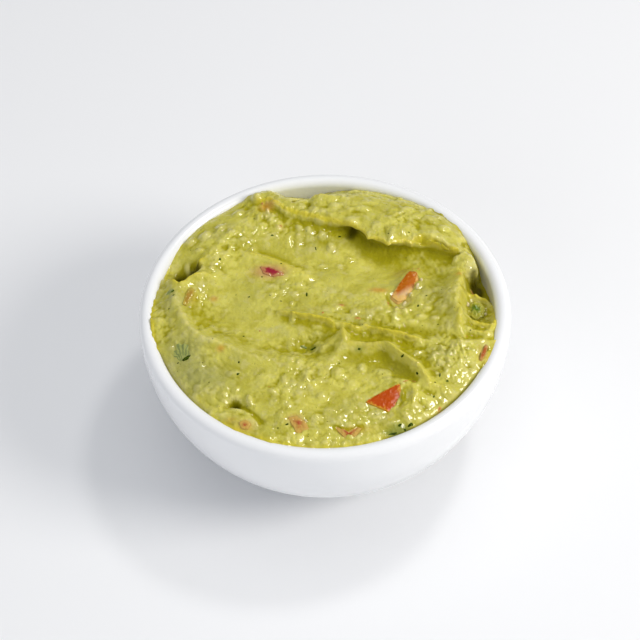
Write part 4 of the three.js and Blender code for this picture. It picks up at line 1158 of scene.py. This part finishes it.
def make_dice(name, material, edge, dome=0.25, shift=0.0, rough=0.22):
    """A cut piece: rounded edges, a slightly domed top cut by one facet, and small dents all over."""
    piece = DICE[name]
    steps = DICE_STEPS
    angles = np.linspace(0, 2 * math.pi, steps, endpoint=False)
    reach = outline_radius(piece["outline"], angles) + 0.3
    seed = sum(map(ord, name))
    rings = [(s, 0.0, 0.0) for s in np.linspace(0.05, 0.92, 14)]
    rings += [(1.0, edge * (math.sin(a) - 1), edge * (1 - math.cos(a)))
              for a in np.linspace(0.2, math.pi / 2, 6)]
    rings += [(1.0, 0.0, d) for d in np.linspace(edge, piece["thick"], 7)[1:]]
    rings += [(s, 0.0, piece["thick"]) for s in (0.8, 0.5, 0.1)]
    turn = math.radians(piece["turn"])
    slope_u, slope_v, start = piece["facet"]
    vertices, rim, side = [], [], []
    for scale, inset, drop in rings:
        r = np.maximum(reach * scale + inset, 0.02)
        u, v = r * np.cos(angles), r * np.sin(angles)
        if drop > piece["thick"] - 0.01:
            top = top_plane(piece, u, v) - drop
        else:
            raised = dome * (1 - scale ** 2)
            facet = start - slope_u * u - slope_v * v
            plain = raised - 0.12 * np.log1p(np.exp((raised - facet) / 0.12))  # smooth lesser of the two
            top = top_plane(piece, u, v) + plain - drop
        top = top + rough * noise(u * 2, v * 2 + 3 * drop, 1.9, seed)
        top = top + 0.08 * noise(u * 4, v * 4 + drop, 1.7, seed + 1)
        x = u * math.cos(turn) - v * math.sin(turn) + piece["at"][0]
        y = u * math.sin(turn) + v * math.cos(turn) + piece["at"][1]
        vertices.append(np.stack([x, y, top + piece["level"] + piece["proud"]], 1))
        side.append((u * piece["far"][0] + v * piece["far"][1]) / np.abs(reach).max())
        rim.append(np.clip(scale + drop + shift * side[-1], 0, 1))
    faces = [(b, a, d, c) for a, b, c, d in ring_faces(len(rings), steps)]
    last = (len(rings) - 1) * steps
    faces += [tuple(range(steps)), tuple(range(last + steps - 1, last - 1, -1))]
    made = make_mesh(name + "_piece", np.concatenate(vertices), faces, material,
                     {"rim": np.concatenate(rim), "side": np.concatenate(side)})
    settle(made, name)


# ---- Chopped coriander, and bits of tomato and onion ----


def ground(x, y):
    """The height of the mash's surface under a place as it is seen, where the fold leans over too."""
    there = y + sample(LEAN, x, y)
    for _ in range(3):
        there = y + sample(LEAN, x, there)
    return sample(HEIGHT, x, there)


def fleck(x, y, length, width, turn, lift, rng, steps=14):
    """One scrap lying in the mash: a ragged outline, domed, its edge just under the surface."""
    angles = np.linspace(0, 2 * math.pi, steps, endpoint=False)
    ragged = np.array([rng.uniform(0.72, 1.12) for _ in angles])
    rows = []
    for scale in (0.0, 0.45, 0.8, 1.0):
        u = length / 2 * scale * ragged * np.cos(angles)
        v = width / 2 * scale * ragged * np.sin(angles)
        px = x + u * math.cos(turn) - v * math.sin(turn)
        py = y + u * math.sin(turn) + v * math.cos(turn)
        rows.append(np.stack([px, py, ground(px, py) + lift * (1 - scale ** 2.5) - 0.06 * scale], 1))
    vertices = np.concatenate([rows[0][:1], *rows[1:], rows[0][:1] - [0, 0, lift + 0.5]])
    faces = [(0, 1 + i, 1 + (i + 1) % steps) for i in range(steps)]
    faces += [(a, d, c, b) for a, b, c, d in ring_faces(3, steps, 1)]
    low = 1 + 2 * steps
    faces += [(low + (i + 1) % steps, low + i, len(vertices) - 1) for i in range(steps)]
    rim = np.concatenate([[0], np.repeat([0.45, 0.8, 1.0], steps), [1.0]])
    return vertices, faces, rim


def scatter(name, spots, material, seed):
    """Many scraps of one kind as one piece. Each spot is x, y, length, width, turn in degrees, and lift."""
    rng = random.Random(seed)
    vertices, faces, rims = [], [], []
    count = 0
    for x, y, length, width, turn, lift in spots:
        v, f, rim = fleck(x, y, length, width, math.radians(turn), lift, rng)
        vertices.append(v)
        faces += [tuple(index + count for index in face) for face in f]
        rims.append(rim)
        count += len(v)
    settle(make_mesh(name, np.concatenate(vertices), faces, material,
                     {"rim": np.concatenate(rims), "side": np.zeros(count)}))


def dust(count, size, seed):
    """Spots strewn at random over the mash: the finest chopped leaf."""
    rng = random.Random(seed)
    spots = []
    for _ in range(count):
        r, a = (INNER_RADIUS - 2) * math.sqrt(rng.random()), rng.uniform(0, 2 * math.pi)
        length = size[0] + (size[1] - size[0]) * rng.random() ** 3
        width = length * rng.uniform(0.4, 0.8)
        spots.append((r * math.cos(a), r * math.sin(a), length, width, rng.uniform(0, 180), 0.07))
    return spots


def leaf(name, x, y, length, width, turn, ribs, material):
    """A torn leaf lying in the mash: it follows the surface, with its ribs standing up a little."""
    turn = math.radians(turn)
    n = 41
    u, v = disc(n, 1.0)
    edge = 1 + 0.10 * np.sin(5 * np.arctan2(v, u)) + 0.05 * np.sin(11 * np.arctan2(v, u) + 1)
    px = x + (u * length * math.cos(turn) - v * width * math.sin(turn)) * edge / 2
    py = y + (u * length * math.sin(turn) + v * width * math.cos(turn)) * edge / 2
    fan = np.arctan2(v, u + 1.3)  # the ribs spread from the stalk's end
    rib = np.exp(-(((fan * ribs / 1.6) % 1 - 0.5) / 0.26) ** 2) * smoothstep((u + 1.1) / 0.5)
    r = np.hypot(u, v)
    lift = 0.16 * (1 - r ** 4) - 0.12 * r ** 4 + 0.10 * rib * (1 - r ** 2)
    under = ground(px, py)
    faces, rim = sheet_faces(n)
    below = faces[:, ::-1] + n * n
    side = np.stack([np.roll(rim, -1), rim, rim + n * n, np.roll(rim, -1) + n * n], 1)
    vertices = np.concatenate([np.stack([px, py, under + lift], -1).reshape(-1, 3),
                               np.stack([px, py, under - 0.35], -1).reshape(-1, 3)])
    marks = {"rib": np.concatenate([rib.reshape(-1), np.zeros(n * n)])}
    faces = faces.tolist() + below.tolist() + side.tolist()
    settle(make_mesh(name, vertices, faces, material, marks))


HERBS = [
    (-43.9, -20.1, 3.6, 1.5, 30, 0.4), (-46.6, -21.2, 1.0, 0.6, 40, 0.1), (-34.0, 20.8, 1.5, 0.9, 80, 0.12),
    (-5.7, 5.2, 2.2, 0.8, 95, 0.2), (-26.0, -10.9, 1.0, 0.8, 20, 0.12), (-4.0, -16.2, 2.4, 1.1, 15, 0.15),
    (-6.6, -15.4, 1.8, 0.5, -20, 0.1), (10.5, -19.4, 1.4, 0.7, 0, 0.12), (30.1, -0.9, 1.2, 0.8, 60, 0.12),
    (-24.4, 5.2, 1.1, 0.6, 10, 0.1), (-14.0, 2.6, 1.2, 0.5, 0, 0.1), (-50.0, -0.7, 0.9, 0.7, 0, 0.1),
    (-27.3, -23.4, 1.0, 0.7, 100, 0.12), (-27.6, -27.6, 1.4, 0.8, 40, 0.12),
    (-36.6, -30.0, 0.8, 0.5, 0, 0.1), (35.3, -30.4, 2.2, 0.5, 80, 0.2), (37.5, -32.3, 1.4, 0.9, 0, 0.15),
    (22.0, -48.2, 1.6, 0.9, 30, 0.12), (25.4, -47.6, 2.4, 0.9, 25, 0.15), (19.8, -50.6, 3.4, 0.8, 18, 0.12),
    (23.6, -49.0, 1.0, 0.6, 20, 0.12), (21.8, 27.0, 1.6, 0.9, 70, 0.12), (-49.3, 6.4, 2.0, 1.2, 40, 0.15),
    (-48.6, 4.4, 1.0, 0.6, 20, 0.1), (-20.2, 13.2, 1.0, 0.6, 70, 0.12), (-13.9, 18.2, 0.9, 0.5, 10, 0.12),
    (-15.2, -48.2, 0.8, 0.7, 0, 0.1), (-12.4, -47.3, 1.6, 0.8, 20, 0.1), (-44.2, 2.4, 1.2, 0.7, 45, 0.12),
    (23.9, -24.0, 1.3, 0.7, 0, 0.12), (28.2, -30.3, 1.5, 0.7, 120, 0.12), (4.1, -24.2, 0.9, 0.4, 80, 0.1),
    (33.6, -34.0, 0.9, 0.6, 0, 0.1), (-38.7, -22.5, 0.8, 0.6, 0, 0.1), (36.0, -9.0, 0.8, 0.5, 0, 0.1),
    (28.5, 28.0, 0.9, 0.6, 0, 0.1), (33.0, -38.0, 1.4, 0.7, 60, 0.12), (-2.4, 26.2, 0.5, 2.2, 10, 0.12),
    (5.6, 31.0, 1.2, 0.8, 0, 0.15), (33.0, 3.4, 0.9, 0.6, 0, 0.1), (-16.8, 31.6, 1.4, 0.8, 10, 0.1),
]
TOMATO_BITS = [
    (5.5, 0.2, 2.4, 1.3, 5, 0.14), (-0.6, -3.6, 1.5, 1.1, 60, 0.16), (10.5, -5.6, 2.6, 1.3, -10, 0.25),
    (-13.9, 35.2, 1.3, 1.0, 0, 0.1), (-20.1, 44.3, 1.0, 1.6, 0, 0.15), (-20.9, -8.5, 0.9, 0.8, 0, 0.12),
    (31.0, 16.8, 2.0, 0.6, 25, 0.25), (29.4, 16.2, 1.2, 0.6, 60, 0.2), (20.6, 1.6, 3.0, 0.7, 100, 0.1),
    (24.6, -32.6, 3.0, 0.5, 30, 0.3), (27.0, -32.4, 2.2, 0.4, -30, 0.3), (49.0, 9.6, 2.6, 1.8, -10, 0.5),
    (34.6, -41.4, 2.4, 1.2, 60, 0.15), (-37.0, -4.0, 0.8, 0.6, 0, 0.06), (-17.9, -33.0, 0.9, 0.7, 0, 0.06),
    (44.8, -14.6, 1.0, 0.8, 0, 0.1),
]
# Pale, wet bits of onion and tomato gel. Those beside the right tomato also stand for painted glints, and the
# one at the red onion's right end, at (-14.6, 14.3), is a painted highlight on it.
PALE_BITS_AND_HIGHLIGHT = [
    (52.0, -0.6, 1.6, 1.3, 0, 0.6), (23.2, -1.0, 2.2, 1.5, 70, 0.5), (25.8, 1.4, 2.6, 1.5, 60, 0.5),
    (30.4, 7.6, 2.4, 1.4, 60, 0.5), (31.8, 10.6, 1.8, 1.2, 60, 0.4), (28.0, 4.4, 2.0, 1.2, 55, 0.4),
    (-14.6, 14.3, 2.4, 1.1, 20, 1.0), (-6.6, -46.2, 1.6, 1.0, -50, 0.4), (48.4, 1.0, 1.5, 1.0, 20, 0.6),
    (46.6, 2.6, 1.6, 1.1, 60, 0.5), (-43.4, 0.6, 1.2, 0.7, 0, 0.3),
]


# ---- Everything in its place ----


photographer()
studio()
settle(turned("porcelain_bowl", bowl_profile(), 240, porcelain()), "bowl")
make_guacamole(mash())

ripe_tomato = flesh("ripe_tomato", "#b64800", "#d0922c", "#8e3018", 0.76, 1.0, 0.3, 0.25)
make_dice("tomato_front", ripe_tomato, 0.35)
orange_tomato = flesh("orange_tomato", "#b46000", "#d8b060", "#d8b888", 0.55, 0.95, 0.0, 0.15)
make_dice("tomato_right", orange_tomato, 0.9, shift=0.5)
blushed_tomato = flesh("blushed_tomato", "#a8502a", "#c6a250", "#cc9630", 0.0, 0.7, 0.25, 0.2)
for name in ("tomato_front_small", "tomato_front_strip", "tomato_corner"):
    make_dice(name, blushed_tomato, 0.5)
stewed_tomato = flesh("stewed_tomato", "#a85826", "#bc9450", "#c08468", 0.3, 1.0, 0.5)
make_dice("tomato_edge", stewed_tomato, 0.4)
red_onion = flesh("red_onion", "#9a2434", "#c08a58", "#b8606c", 0.3, 0.9, 0.5, 0.8)
make_dice("onion_red", red_onion, 0.5)
yellow_pepper = flesh("yellow_pepper", "#a88430", "#bca844", "#b89438", 0.25, 0.85)
make_dice("pepper_left", yellow_pepper, 0.5)
firm_avocado = flesh("firm_avocado", "#5f7a14", "#b2ae3e", "#8f9c28", 0.15, 0.7, 0.3, 0.9)
make_dice("avocado_right", firm_avocado, 0.9, 0.9, rough=0.6)

scatter("coriander_flecks", HERBS + dust(240, (0.22, 0.7), 41), herb(), 42)
soaked = soaked_leaf()
leaf("coriander_leaf_left", -45.5, -17.6, 6.6, 5.6, 100, 6, soaked)
leaf("coriander_leaf_wall", -50.0, 6.6, 3.2, 2.0, 50, 3, soaked)
leaf("coriander_leaf_middle", -7.0, -15.0, 2.6, 1.1, -15, 3, soaked)
scatter("tomato_bits", TOMATO_BITS, blushed_tomato, 43)
# Pale wet bits, one of them a painted highlight on the red onion.
white_onion_and_highlight = flesh("white_onion_and_highlight", "#d8cca0", "#cfc478", "#dcc8a8", 0.4, 1.0, 0.5, 0.9)
scatter("pale_bits_and_highlight", PALE_BITS_AND_HIGHLIGHT, white_onion_and_highlight, 44)
